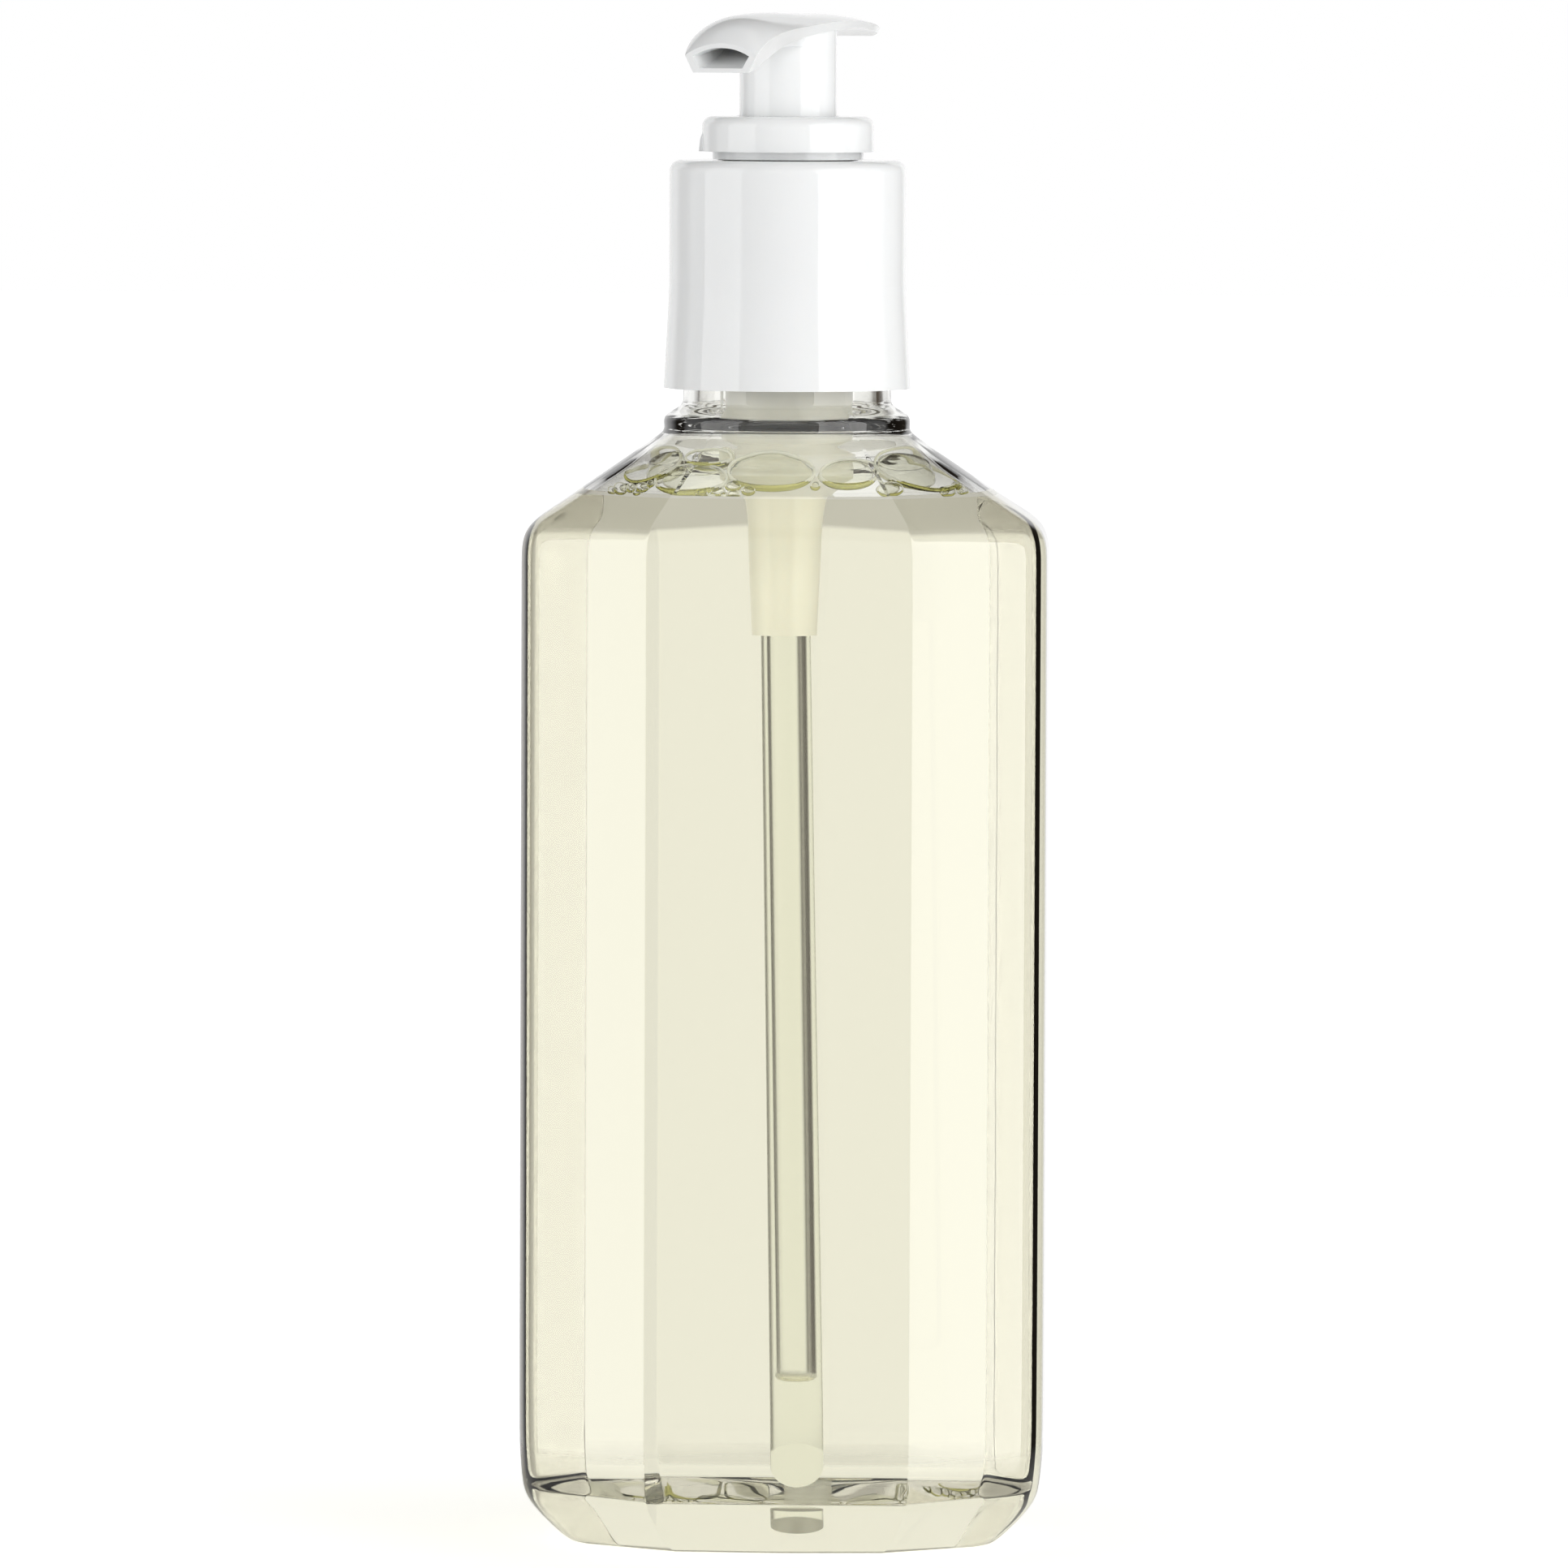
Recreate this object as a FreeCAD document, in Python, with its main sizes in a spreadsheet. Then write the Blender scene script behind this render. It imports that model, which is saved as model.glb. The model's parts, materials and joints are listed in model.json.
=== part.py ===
import FreeCAD, Part
import math
import os
import re

import Sketcher
from FreeCAD import Placement, Rotation, Vector

# A hand-pump bottle of liquid face wash. Millimetres, +Z up, front towards -Y.
# The origin is the middle of the bottle's base, in the plane it stands on.

doc = FreeCAD.newDocument("face_wash_bottle")

# ---------------------------------------------------------------- driving sizes

SIZES = {
    # bottle body
    "bottle_width": 64.6,
    "bottle_depth": 50.0,
    "front_flat": 32.4,  # width of the flat front panel between the corner facets
    "facet_angle": 40.0,  # how far a corner facet turns away from the front
    "bottle_wall": 0.8,
    "heel_drop": 6.5,  # height and depth of the slope between wall and base
    "corner_round": 5.0,
    "base_round": 2.4,
    "wall_top": 125.6,  # height of the straight wall
    "shoulder_rise": 11.3,
    "punt_rim": 3.2,  # flat rim of the base in front of the pushed-up dome
    "punt_depth": 2.2,
    # neck
    "neck_room": 2.7,  # free space between the pump and the neck's bore
    "finish_wall": 2.0,
    "finish_height": 26.5,
    "bead_reach": 2.5,
    "bead_height": 3.0,
    "bead_round": 1.1,
    # closure
    "gasket_thick": 1.2,
    "flange_seat": 1.4,  # how far the flange reaches over the neck's lip
    "flange_thick": 1.5,
    "thread_room": 1.15,  # space for the threads between neck and collar
    "collar_roof": 1.6,
    "collar_top_wall": 0.65,
    "collar_foot_wall": 1.3,
    "collar_lift": 2.85,  # bare neck between the bead and the collar's foot
    "collar_round": 1.4,
    # pump cylinder
    "skirt_room": 1.0,  # free space between the head's skirt and the cylinder
    "pump_wall": 1.1,
    "pump_length": 35.4,  # flange top to the floor of the cylinder
    "funnel_height": 5.0,
    "nose_wall": 0.92,
    "nose_draft": 0.75,
    "nose_length": 16.1,
    "socket_depth": 10.0,
    "throat_length": 2.1,
    "ball_radius": 2.4,
    "ball_room": 0.4,
    "ball_overlap": 0.8,  # ball's radius over the throat's
    "ball_lift": 1.2,
    "cage_thick": 1.1,
    # lock ring
    "ring_wall": 2.5,
    "ring_height": 4.35,
    "ring_roof": 1.5,
    "ring_round": 1.3,
    "ring_foot_wall": 1.2,
    "ring_gap": 1.05,  # the foot between the collar and the ring's skirt
    "lug_reach": 0.32,
    # plunger
    "stem_radius": 3.5,
    "stem_wall": 1.5,
    "stem_drop": 4.0,  # stem's top below the head's crown
    "piston_length": 7.4,
    "lip_length": 1.2,
    "waist_depth": 1.4,
    "poppet_height": 2.2,
    "plug_length": 5.0,
    "spring_length": 15.4,
    "wire_radius": 0.4,
    "flute_radius": 0.7,
    # pump head
    "skirt_space": 1.4,  # between stem and skirt
    "skirt_wall": 1.1,
    "skirt_drop": 12.0,  # how far the skirt reaches below the ring's top
    "socket_rise": 1.8,  # foot of the stem's socket above the ring's top
    "head_brim": 0.8,  # how far the shell reaches past the skirt at each side
    "head_rise": 12.8,  # crown above the ring's top
    "spout_reach": 24.0,
    "paddle_reach": 18.3,
    "spout_turn": 18.0,  # how far the spout points left of the front
    # dip tube
    "tube_radius": 3.0,
    "tube_wall": 0.6,
    "tube_floor_gap": 4.3,
    "tube_cut_rise": 4.5,
    # contents
    "fill_drop": 7.0,  # liquid surface below the shoulder's top
    # clearances
    "running_gap": 0.3,
    "slide_fit": 0.08,
    "press_gap": 0.02,
    "seat_gap": 0.1,
}

COILS = 7
CAGE_SLOTS = 6
POPPET_FLUTES = 4

# Heights and radii that follow from the driving sizes.
DERIVED = {
    "half_width": "bottle_width / 2",
    "half_depth": "bottle_depth / 2",
    "punt_radius": "half_depth - heel_drop - punt_rim",
    "stem_bore": "stem_radius - stem_wall",
    "skirt_radius": "stem_radius + skirt_space + skirt_wall",
    "pump_bore": "skirt_radius + skirt_room",
    "pump_outer": "pump_bore + pump_wall",
    "finish_bore": "pump_outer + neck_room",
    "finish_radius": "finish_bore + finish_wall",
    "bead_radius": "finish_radius + bead_reach",
    "flange_radius": "finish_bore + flange_seat",
    "collar_bore": "finish_radius + thread_room",
    "collar_top_radius": "collar_bore + collar_top_wall",
    "collar_foot_radius": "collar_bore + collar_foot_wall",
    "collar_mouth": "pump_outer + 2 * running_gap",
    "ring_radius": "pump_outer + ring_wall",
    "ring_foot_radius": "pump_outer + ring_foot_wall",
    "socket_radius": "tube_radius + slide_fit",
    "nose_tip_radius": "socket_radius + nose_wall",
    "nose_top_radius": "nose_tip_radius + nose_draft",
    "ball_chamber_radius": "ball_radius + ball_room",
    "throat_radius": "ball_radius - ball_overlap",
    "piston_radius": "pump_bore - slide_fit",
    "piston_waist": "pump_bore - waist_depth",
    "spring_radius": "stem_radius + wire_radius",
    "poppet_radius": "spring_radius + wire_radius - seat_gap",
    "head_half": "skirt_radius + head_brim",
    "shoulder_top": "wall_top + shoulder_rise",
    "bead_top": "shoulder_top + bead_height",
    "lip_z": "bead_top + finish_height",
    "flange_z": "lip_z + gasket_thick",
    "flange_top": "flange_z + flange_thick",
    "collar_under": "flange_top + seat_gap",
    "collar_top": "collar_under + collar_roof",
    "collar_foot": "bead_top + collar_lift",
    "ring_foot_z": "collar_top + seat_gap",
    "ring_skirt_z": "collar_top + ring_gap",
    "ring_top": "ring_skirt_z + ring_height",
    "pump_floor": "flange_top - pump_length",
    "nose_top": "pump_floor - funnel_height",
    "nose_tip": "nose_top - nose_length",
    "socket_top": "nose_tip + socket_depth",
    "seat_low": "socket_top + throat_length",
    "seat_high": "seat_low + ball_chamber_radius - throat_radius",
    "ball_z": "seat_low - throat_radius + (ball_radius + press_gap) * sqrt(2)",
    "cage_low": "pump_floor + press_gap",
    "cage_top": "cage_low + cage_thick",
    "spring_top": "cage_top + press_gap + spring_length",
    "poppet_z": "spring_top + press_gap",
    "piston_z": "poppet_z + poppet_height",
    "piston_top": "piston_z + piston_length",
    "stem_z": "piston_top + running_gap",
    "crown_z": "ring_top + head_rise",
    "skirt_z": "ring_top - skirt_drop",
    "stem_top_z": "crown_z - stem_drop",
    "socket_foot_z": "ring_top + socket_rise",
    "tube_bottom": "punt_depth + bottle_wall + tube_floor_gap",
    "tube_top": "socket_top - press_gap",
    "fill_z": "shoulder_top - fill_drop",
    "liquid_inset": "bottle_wall + running_gap",
}

sizes = doc.addObject("Spreadsheet::Sheet", "sizes")
for row, (alias, value) in enumerate(SIZES.items(), start=1):
    sizes.set(f"A{row}", alias)
    sizes.set(f"B{row}", str(value))
    sizes.setAlias(f"B{row}", alias)
doc.recompute()


def formula(text):
    """Write an expression on the size names as one that FreeCAD can bind."""

    def swap(match):
        word = match.group(0)
        if word in SIZES:
            return f"sizes.{word}"
        if word in DERIVED:
            return f"({formula(DERIVED[word])})"
        return word

    return re.sub(r"[a-z]\w*", swap, text)


def number(text):
    """The present value of an expression on the size names."""
    return float(sizes.evalExpression(formula(text)))


# ---------------------------------------------------------------- drawing helpers


def new_body(name, label=None):
    body = doc.addObject("PartDesign::Body", name)
    body.Label = label or name
    return body


def plane(body, role):
    return next(feature for feature in body.Origin.OriginFeatures if feature.Role == role)


def new_sketch(body, name, role, offset=None):
    """A sketch on one of the body's own origin planes, offset along that plane's normal."""
    sketch = body.newObject("Sketcher::SketchObject", name)
    sketch.AttachmentSupport = (plane(body, role), [""])
    sketch.MapMode = "FlatFace"
    if offset is not None:
        sketch.setExpression("AttachmentOffset.Base.z", formula(offset))
    return sketch


def pin_down(sketch, geometry, end, x_text, y_text):
    """Bind one end of a line or arc to two expressions, measured from the sketch's origin."""
    for kind, axis, text in (("DistanceX", -2, x_text), ("DistanceY", -1, y_text)):
        value = number(text)
        if abs(value) < 1e-9:
            sketch.addConstraint(Sketcher.Constraint("PointOnObject", geometry, end, axis))
        else:
            index = sketch.addConstraint(Sketcher.Constraint(kind, -1, 1, geometry, end, value))
            sketch.setExpression(f"Constraints[{index}]", formula(text))


def draw_outline(sketch, corners):
    """A closed outline of straight lines through corners given as pairs of expressions."""
    points = [Vector(number(x), number(y), 0) for x, y in corners]
    count = len(points)
    for i in range(count):
        sketch.addGeometry(Part.LineSegment(points[i], points[(i + 1) % count]))
    for i in range(count):
        sketch.addConstraint(Sketcher.Constraint("Coincident", i, 2, (i + 1) % count, 1))
    for i, (x_text, y_text) in enumerate(corners):
        pin_down(sketch, i, 1, x_text, y_text)


def draw_circle(sketch, radius, x_text="0", y_text="0"):
    circle = Part.Circle(Vector(number(x_text), number(y_text), 0), Vector(0, 0, 1), number(radius))
    index = sketch.addGeometry(circle)
    pin_down(sketch, index, 3, x_text, y_text)
    constraint = sketch.addConstraint(Sketcher.Constraint("Radius", index, number(radius)))
    sketch.setExpression(f"Constraints[{constraint}]", formula(radius))


def turn_profile(body, name, corners, cut=False):
    """Turn an outline of (radius, height) corners about the Z axis, as metal or as a groove."""
    sketch = new_sketch(body, f"{name}_profile", "XZ_Plane")
    draw_outline(sketch, corners)
    feature = body.newObject("PartDesign::Groove" if cut else "PartDesign::Revolution", name)
    feature.Profile = sketch
    feature.ReferenceAxis = (sketch, ["V_Axis"])
    feature.Angle = 360
    body.Tip = feature
    doc.recompute()
    return feature


def loft(body, name, sections, cut=False, ruled=True):
    """Join sketches with a skin; the first is the profile and the rest are its sections."""
    feature = body.newObject("PartDesign::SubtractiveLoft" if cut else "PartDesign::AdditiveLoft", name)
    feature.Profile = sections[0]
    feature.Sections = sections[1:]
    feature.Ruled = ruled
    body.Tip = feature
    doc.recompute()
    return feature


def ring_edges(shape, spots):
    """Names of the round edges whose radius and height match one of the spots."""
    names = []
    for index, edge in enumerate(shape.Edges, start=1):
        if not isinstance(edge.Curve, Part.Circle):
            continue
        for radius, height in spots:
            level = abs(edge.Curve.Center.z - number(height)) < 1e-4
            if level and abs(edge.Curve.Radius - number(radius)) < 1e-4:
                names.append(f"Edge{index}")
    return names


def round_edges(body, name, edges, radius):
    base = body.Tip
    fillet = body.newObject("PartDesign::Fillet", name)
    fillet.Base = (base, edges)
    fillet.setExpression("Radius", formula(radius))
    body.Tip = fillet
    doc.recompute()
    return fillet


def cut_from(label, base, *tools):
    """Boolean cut of one or more tools from a base; the result is a sub-part of its own."""
    result = base
    for step, tool in enumerate(tools, start=1):
        cut = doc.addObject("Part::Cut", f"{label}_cut{step}")
        cut.Base = result
        cut.Tool = tool
        result = cut
    result.Label = label
    doc.recompute()
    return result


def turned_part(name, corners, rounds=()):
    """A sub-part turned in one piece, with the edges at some (radius, height) spots rounded."""
    body = new_body(name)
    turn_profile(body, f"{name}_turned", corners)
    for index, (spots, radius) in enumerate(rounds, start=1):
        edges = ring_edges(body.Tip.Shape, spots)
        round_edges(body, f"{name}_round{index}", edges, radius)
    return body


# ---------------------------------------------------------------- bottle


def octagon_corners(inset):
    """Corners of the bottle's eight-sided plan, moved inwards all round by inset."""
    x_side = f"(half_width - ({inset}))"
    y_front = f"(half_depth - ({inset}))"
    x_facet = f"(front_flat / 2 - ({inset}) * tan(facet_angle / 2))"
    y_facet = f"({y_front} - ({x_side} - {x_facet}) * tan(facet_angle))"
    quarter = [(x_facet, y_front), (x_side, y_facet)]
    corners = [(x, f"-{y}") for x, y in quarter]
    corners += [(x, y) for x, y in reversed(quarter)]
    corners += [(f"-{x}", y) for x, y in quarter]
    corners += [(f"-{x}", f"-{y}") for x, y in reversed(quarter)]
    return corners


def octagon_sketch(body, name, inset, height):
    sketch = new_sketch(body, name, "XY_Plane", height)
    draw_outline(sketch, octagon_corners(inset))
    return sketch


def circle_sketch(body, name, radius, height):
    """A circle drawn as eight arcs, one for each side of the plan, so that a loft keeps its sides."""
    sketch = new_sketch(body, name, "XY_Plane", height)
    size = number(radius)
    angles = [math.atan2(number(y), number(x)) for x, y in octagon_corners("0")]
    for i, start in enumerate(angles):
        end = angles[(i + 1) % len(angles)]
        end = end if end > start else end + 2 * math.pi
        circle = Part.Circle(Vector(0, 0, 0), Vector(0, 0, 1), size)
        sketch.addGeometry(Part.ArcOfCircle(circle, start, end))
    for i in range(len(angles)):
        sketch.addConstraint(Sketcher.Constraint("Coincident", i, 2, (i + 1) % len(angles), 1))
        sketch.addConstraint(Sketcher.Constraint("Coincident", i, 3, -1, 1))
    index = sketch.addConstraint(Sketcher.Constraint("Radius", 0, size))
    sketch.setExpression(f"Constraints[{index}]", formula(radius))
    for i, (x_text, y_text) in enumerate(octagon_corners("0")):
        length = f"sqrt(({x_text}) ^ 2 + ({y_text}) ^ 2)"
        steep = abs(number(y_text)) > abs(number(x_text))
        kind, text = ("DistanceX", x_text) if steep else ("DistanceY", y_text)
        place = f"({radius}) * ({text}) / {length}"
        index = sketch.addConstraint(Sketcher.Constraint(kind, -1, 1, i, 1, number(place)))
        sketch.setExpression(f"Constraints[{index}]", formula(place))
    return sketch


def bottle_form(name, inset, mouth_radius, mouth_z):
    """The bottle's body as a solid: sloped heel, eight-sided wall and a shoulder up to a round mouth."""
    body = new_body(name)
    floor = f"({inset})"
    heel_z = f"(heel_drop + ({inset}) * (sqrt(2) - 1))"
    shoulder_z = f"(wall_top - ({inset}) / 2)"
    foot = octagon_sketch(body, f"{name}_foot", f"{heel_z}", floor)
    knee = octagon_sketch(body, f"{name}_knee", inset, heel_z)
    loft(body, f"{name}_heel", [foot, knee])
    wall = body.newObject("PartDesign::Pad", f"{name}_wall")
    wall.Profile = knee
    wall.setExpression("Length", formula(f"{shoulder_z} - {heel_z}"))
    body.Tip = wall
    doc.recompute()
    eave = octagon_sketch(body, f"{name}_eave", inset, shoulder_z)
    mouth = circle_sketch(body, f"{name}_mouth", mouth_radius, mouth_z)
    loft(body, f"{name}_shoulder", [eave, mouth])

    levels = (number(heel_z), number(shoulder_z))
    edges = []
    for index, edge in enumerate(body.Tip.Shape.Edges, start=1):
        heights = [vertex.Point.z for vertex in edge.Vertexes]
        if all(any(abs(z - level) < 1e-4 for level in levels) for z in heights):
            edges.append(f"Edge{index}")
    round_edges(body, f"{name}_corners", edges, f"corner_round - ({inset})")
    return body


def add_foot_round(body, name, inset, radius):
    edges = []
    for index, edge in enumerate(body.Tip.Shape.Edges, start=1):
        if all(abs(vertex.Point.z - number(inset)) < 1e-4 for vertex in edge.Vertexes):
            edges.append(f"Edge{index}")
    round_edges(body, name, edges, radius)


def punt_profile(inset):
    """Half section of the shallow dome pushed up into the base."""
    return [
        ("0", f"punt_depth + ({inset})"),
        ("0", f"-1 + ({inset})"),
        (f"punt_radius + ({inset})", f"-1 + ({inset})"),
        (f"punt_radius + ({inset})", f"{inset}"),
        (f"punt_radius - 2.5 + ({inset})", f"punt_depth * 0.55 + ({inset})"),
        (f"punt_radius - 6 + ({inset})", f"punt_depth * 0.85 + ({inset})"),
    ]


def make_bottle():
    outside = bottle_form("bottle_outside", "0", "bead_radius", "shoulder_top")
    add_foot_round(outside, "foot_round", "0", "base_round")
    turn_profile(
        outside,
        "neck",
        [
            ("0", "shoulder_top - 4"),
            ("bead_radius - 0.1", "shoulder_top - 4"),
            ("bead_radius", "shoulder_top"),
            ("bead_radius", "bead_top"),
            ("finish_radius", "bead_top"),
            ("finish_radius", "lip_z"),
            ("0", "lip_z"),
        ],
    )
    edges = ring_edges(outside.Tip.Shape, [("bead_radius", "bead_top")])
    round_edges(outside, "bead_edge", edges, "bead_round")
    turn_profile(outside, "punt", punt_profile("0"), cut=True)

    mouth_z = "shoulder_top + (bead_radius - finish_bore) * shoulder_rise / (half_width - bead_radius) - bottle_wall"
    cavity = bottle_form("bottle_cavity", "bottle_wall", "finish_bore", mouth_z)
    turn_profile(
        cavity,
        "neck_bore",
        [("0", "shoulder_top"), ("finish_bore", "shoulder_top"), ("finish_bore", "lip_z + 1"), ("0", "lip_z + 1")],
    )
    turn_profile(cavity, "punt_inside", punt_profile("bottle_wall"), cut=True)
    return cut_from("bottle", outside, cavity)


# ---------------------------------------------------------------- contents


def make_face_wash():
    """The liquid: it fills the bottle to its level, clear of the wall, the pump and the dip tube."""
    inset = "liquid_inset"
    pool = bottle_form("pool", inset, "finish_bore - running_gap", "shoulder_top + running_gap")
    turn_profile(pool, "pool_floor", punt_profile(inset), cut=True)
    tube_room = "(tube_radius + running_gap)"
    nose_room = "(nose_top_radius + running_gap)"
    room = new_body("pump_room")
    turn_profile(
        room,
        "pump_room_turned",
        [
            ("0", "tube_bottom - running_gap"),
            (tube_room, "tube_bottom - running_gap"),
            (tube_room, "nose_tip - running_gap"),
            (nose_room, "nose_tip - running_gap"),
            (nose_room, "nose_top - running_gap"),
            ("pump_outer + running_gap", "pump_floor - running_gap"),
            ("pump_outer + running_gap", "fill_z + 4"),
            ("bottle_width", "fill_z + 4"),
            ("bottle_width", "lip_z"),
            ("0", "lip_z"),
        ],
    )
    above = new_body("headspace")
    turn_profile(
        above,
        "headspace_turned",
        [("0", "fill_z"), ("bottle_width", "fill_z"), ("bottle_width", "lip_z"), ("0", "lip_z")],
    )
    return cut_from("face_wash", pool, room, above)


def make_dip_tube():
    """Plain tube, cut aslant at its foot so that it can't seal against the base."""
    body = new_body("dip_tube")
    turn_profile(
        body,
        "tube_wall_turned",
        [
            ("tube_radius - tube_wall", "tube_bottom"),
            ("tube_radius", "tube_bottom"),
            ("tube_radius", "tube_top"),
            ("tube_radius - tube_wall", "tube_top"),
        ],
    )
    sketch = new_sketch(body, "tube_slant", "YZ_Plane")
    draw_outline(
        sketch,
        [
            ("tube_radius", "tube_bottom"),
            ("-tube_radius", "tube_bottom + tube_cut_rise"),
            ("-tube_radius - 1", "tube_bottom + tube_cut_rise"),
            ("-tube_radius - 1", "tube_bottom - 1"),
            ("tube_radius", "tube_bottom - 1"),
        ],
    )
    slant = body.newObject("PartDesign::Pocket", "tube_foot_cut")
    slant.Profile = sketch
    slant.Type = "ThroughAll"
    slant.Midplane = True
    body.Tip = slant
    return body


# ---------------------------------------------------------------- closure


def make_neck_gasket():
    return turned_part(
        "neck_gasket",
        [
            ("pump_outer + running_gap", "lip_z"),
            ("flange_radius", "lip_z"),
            ("flange_radius", "flange_z"),
            ("pump_outer + running_gap", "flange_z"),
        ],
    )


def make_screw_collar():
    """Tall smooth screw cap, flaring a little towards its foot, open for the pump on top."""
    return turned_part(
        "screw_collar",
        [
            ("collar_bore", "collar_foot"),
            ("collar_foot_radius", "collar_foot"),
            ("collar_top_radius", "collar_foot + (collar_top - collar_foot) * 0.45"),
            ("collar_top_radius", "collar_top"),
            ("collar_mouth", "collar_top"),
            ("collar_mouth", "collar_under"),
            ("collar_bore", "collar_under"),
        ],
        rounds=[([("collar_top_radius", "collar_top")], "collar_round")],
    )


def make_lock_ring():
    """Cap of the pump cylinder: a round-shouldered ring with the plunger's bore and a small lug."""
    body = turned_part(
        "lock_ring",
        [
            ("pump_outer + press_gap", "ring_foot_z"),
            ("ring_foot_radius", "ring_foot_z"),
            ("ring_foot_radius", "ring_skirt_z"),
            ("ring_radius", "ring_skirt_z"),
            ("ring_radius", "ring_top"),
            ("skirt_radius + running_gap", "ring_top"),
            ("skirt_radius + running_gap", "ring_top - ring_roof"),
            ("pump_outer + press_gap", "ring_top - ring_roof"),
        ],
        rounds=[([("ring_radius", "ring_top")], "ring_round")],
    )
    sketch = new_sketch(body, "lug_profile", "XZ_Plane")
    draw_outline(
        sketch,
        [
            ("-ring_radius + 1.2", "ring_skirt_z"),
            ("-ring_radius - lug_reach", "ring_skirt_z"),
            ("-ring_radius - lug_reach / 2", "ring_skirt_z + ring_height * 0.35"),
            ("-ring_radius + 0.4", "ring_top - ring_round"),
            ("-ring_radius + 1.2", "ring_top - ring_round"),
        ],
    )
    lug = body.newObject("PartDesign::Pad", "lug")
    lug.Profile = sketch
    lug.setExpression("Length", formula("ring_height * 0.8"))
    lug.Midplane = True
    body.Tip = lug
    return body


# ---------------------------------------------------------------- pump cylinder and its inside


def make_pump_housing():
    """Moulded cylinder: flange on the neck, wide bore, funnel, and a nose for the valve and tube."""
    return turned_part(
        "pump_housing",
        [
            ("pump_bore", "pump_floor"),
            ("pump_bore", "ring_top - ring_roof - seat_gap"),
            ("pump_outer", "ring_top - ring_roof - seat_gap"),
            ("pump_outer", "flange_top"),
            ("flange_radius", "flange_top"),
            ("flange_radius", "flange_z"),
            ("pump_outer", "flange_z"),
            ("pump_outer", "pump_floor"),
            ("nose_top_radius", "nose_top"),
            ("nose_tip_radius", "nose_tip"),
            ("socket_radius", "nose_tip"),
            ("socket_radius", "socket_top"),
            ("throat_radius", "socket_top"),
            ("throat_radius", "seat_low"),
            ("ball_chamber_radius", "seat_high"),
            ("ball_chamber_radius", "nose_top + 1"),
        ],
    )


def make_valve_ball():
    body = new_body("valve_ball")
    sketch = new_sketch(body, "ball_profile", "XZ_Plane")
    low, high = number("ball_z - ball_radius"), number("ball_z + ball_radius")
    middle, radius = number("ball_z"), number("ball_radius")
    circle = Part.Circle(Vector(0, middle, 0), Vector(0, 0, 1), radius)
    sketch.addGeometry(Part.ArcOfCircle(circle, -math.pi / 2, math.pi / 2))
    sketch.addGeometry(Part.LineSegment(Vector(0, high, 0), Vector(0, low, 0)))
    sketch.addConstraint(Sketcher.Constraint("Coincident", 0, 2, 1, 1))
    sketch.addConstraint(Sketcher.Constraint("Coincident", 1, 2, 0, 1))
    sketch.addConstraint(Sketcher.Constraint("PointOnObject", 0, 3, -2))
    sketch.addConstraint(Sketcher.Constraint("PointOnObject", 1, 1, -2))
    sketch.addConstraint(Sketcher.Constraint("PointOnObject", 1, 2, -2))
    for kind, text, target in (
        ("Radius", "ball_radius", (0,)),
        ("DistanceY", "ball_z", (-1, 1, 0, 3)),
    ):
        index = sketch.addConstraint(Sketcher.Constraint(kind, *target, number(text)))
        sketch.setExpression(f"Constraints[{index}]", formula(text))
    ball = body.newObject("PartDesign::Revolution", "ball")
    ball.Profile = sketch
    ball.ReferenceAxis = (sketch, ["V_Axis"])
    ball.Angle = 360
    body.Tip = ball
    return body


def make_ball_cage():
    """Insert in the funnel: it keeps the ball in, carries the spring, and lets liquid up its slots."""
    body = turned_part(
        "ball_cage",
        [
            ("0", "ball_z + ball_radius + ball_lift"),
            ("1", "ball_z + ball_radius + ball_lift"),
            ("1.4", "cage_low"),
            ("pump_bore - press_gap", "cage_low"),
            ("pump_bore - press_gap", "cage_top"),
            ("0", "cage_top"),
        ],
    )
    sketch = new_sketch(body, "cage_slot_profile", "XY_Plane", "cage_top + 1")
    draw_circle(sketch, "0.9", "spring_radius - 1.4")
    slot = body.newObject("PartDesign::Pocket", "cage_slot")
    slot.Profile = sketch
    slot.Type = "ThroughAll"
    body.Tip = slot
    doc.recompute()
    slots = body.newObject("PartDesign::PolarPattern", "cage_slots")
    slots.Originals = [slot]
    slots.Axis = (sketch, ["N_Axis"])
    slots.Angle = 360
    slots.Occurrences = CAGE_SLOTS
    body.Tip = slots
    return body


def make_return_spring():
    """Round wire wound as a helix about the pump's axis."""
    body = new_body("return_spring")
    sketch = new_sketch(body, "wire_section", "XZ_Plane")
    draw_circle(sketch, "wire_radius", "spring_radius", "cage_top + press_gap + wire_radius")
    helix = body.newObject("PartDesign::AdditiveHelix", "coils")
    helix.Profile = sketch
    helix.ReferenceAxis = (sketch, ["V_Axis"])
    helix.Mode = "height-turns-growth"
    helix.setExpression("Height", formula("spring_length - 2 * wire_radius"))
    helix.Turns = COILS
    body.Tip = helix
    return body


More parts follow.
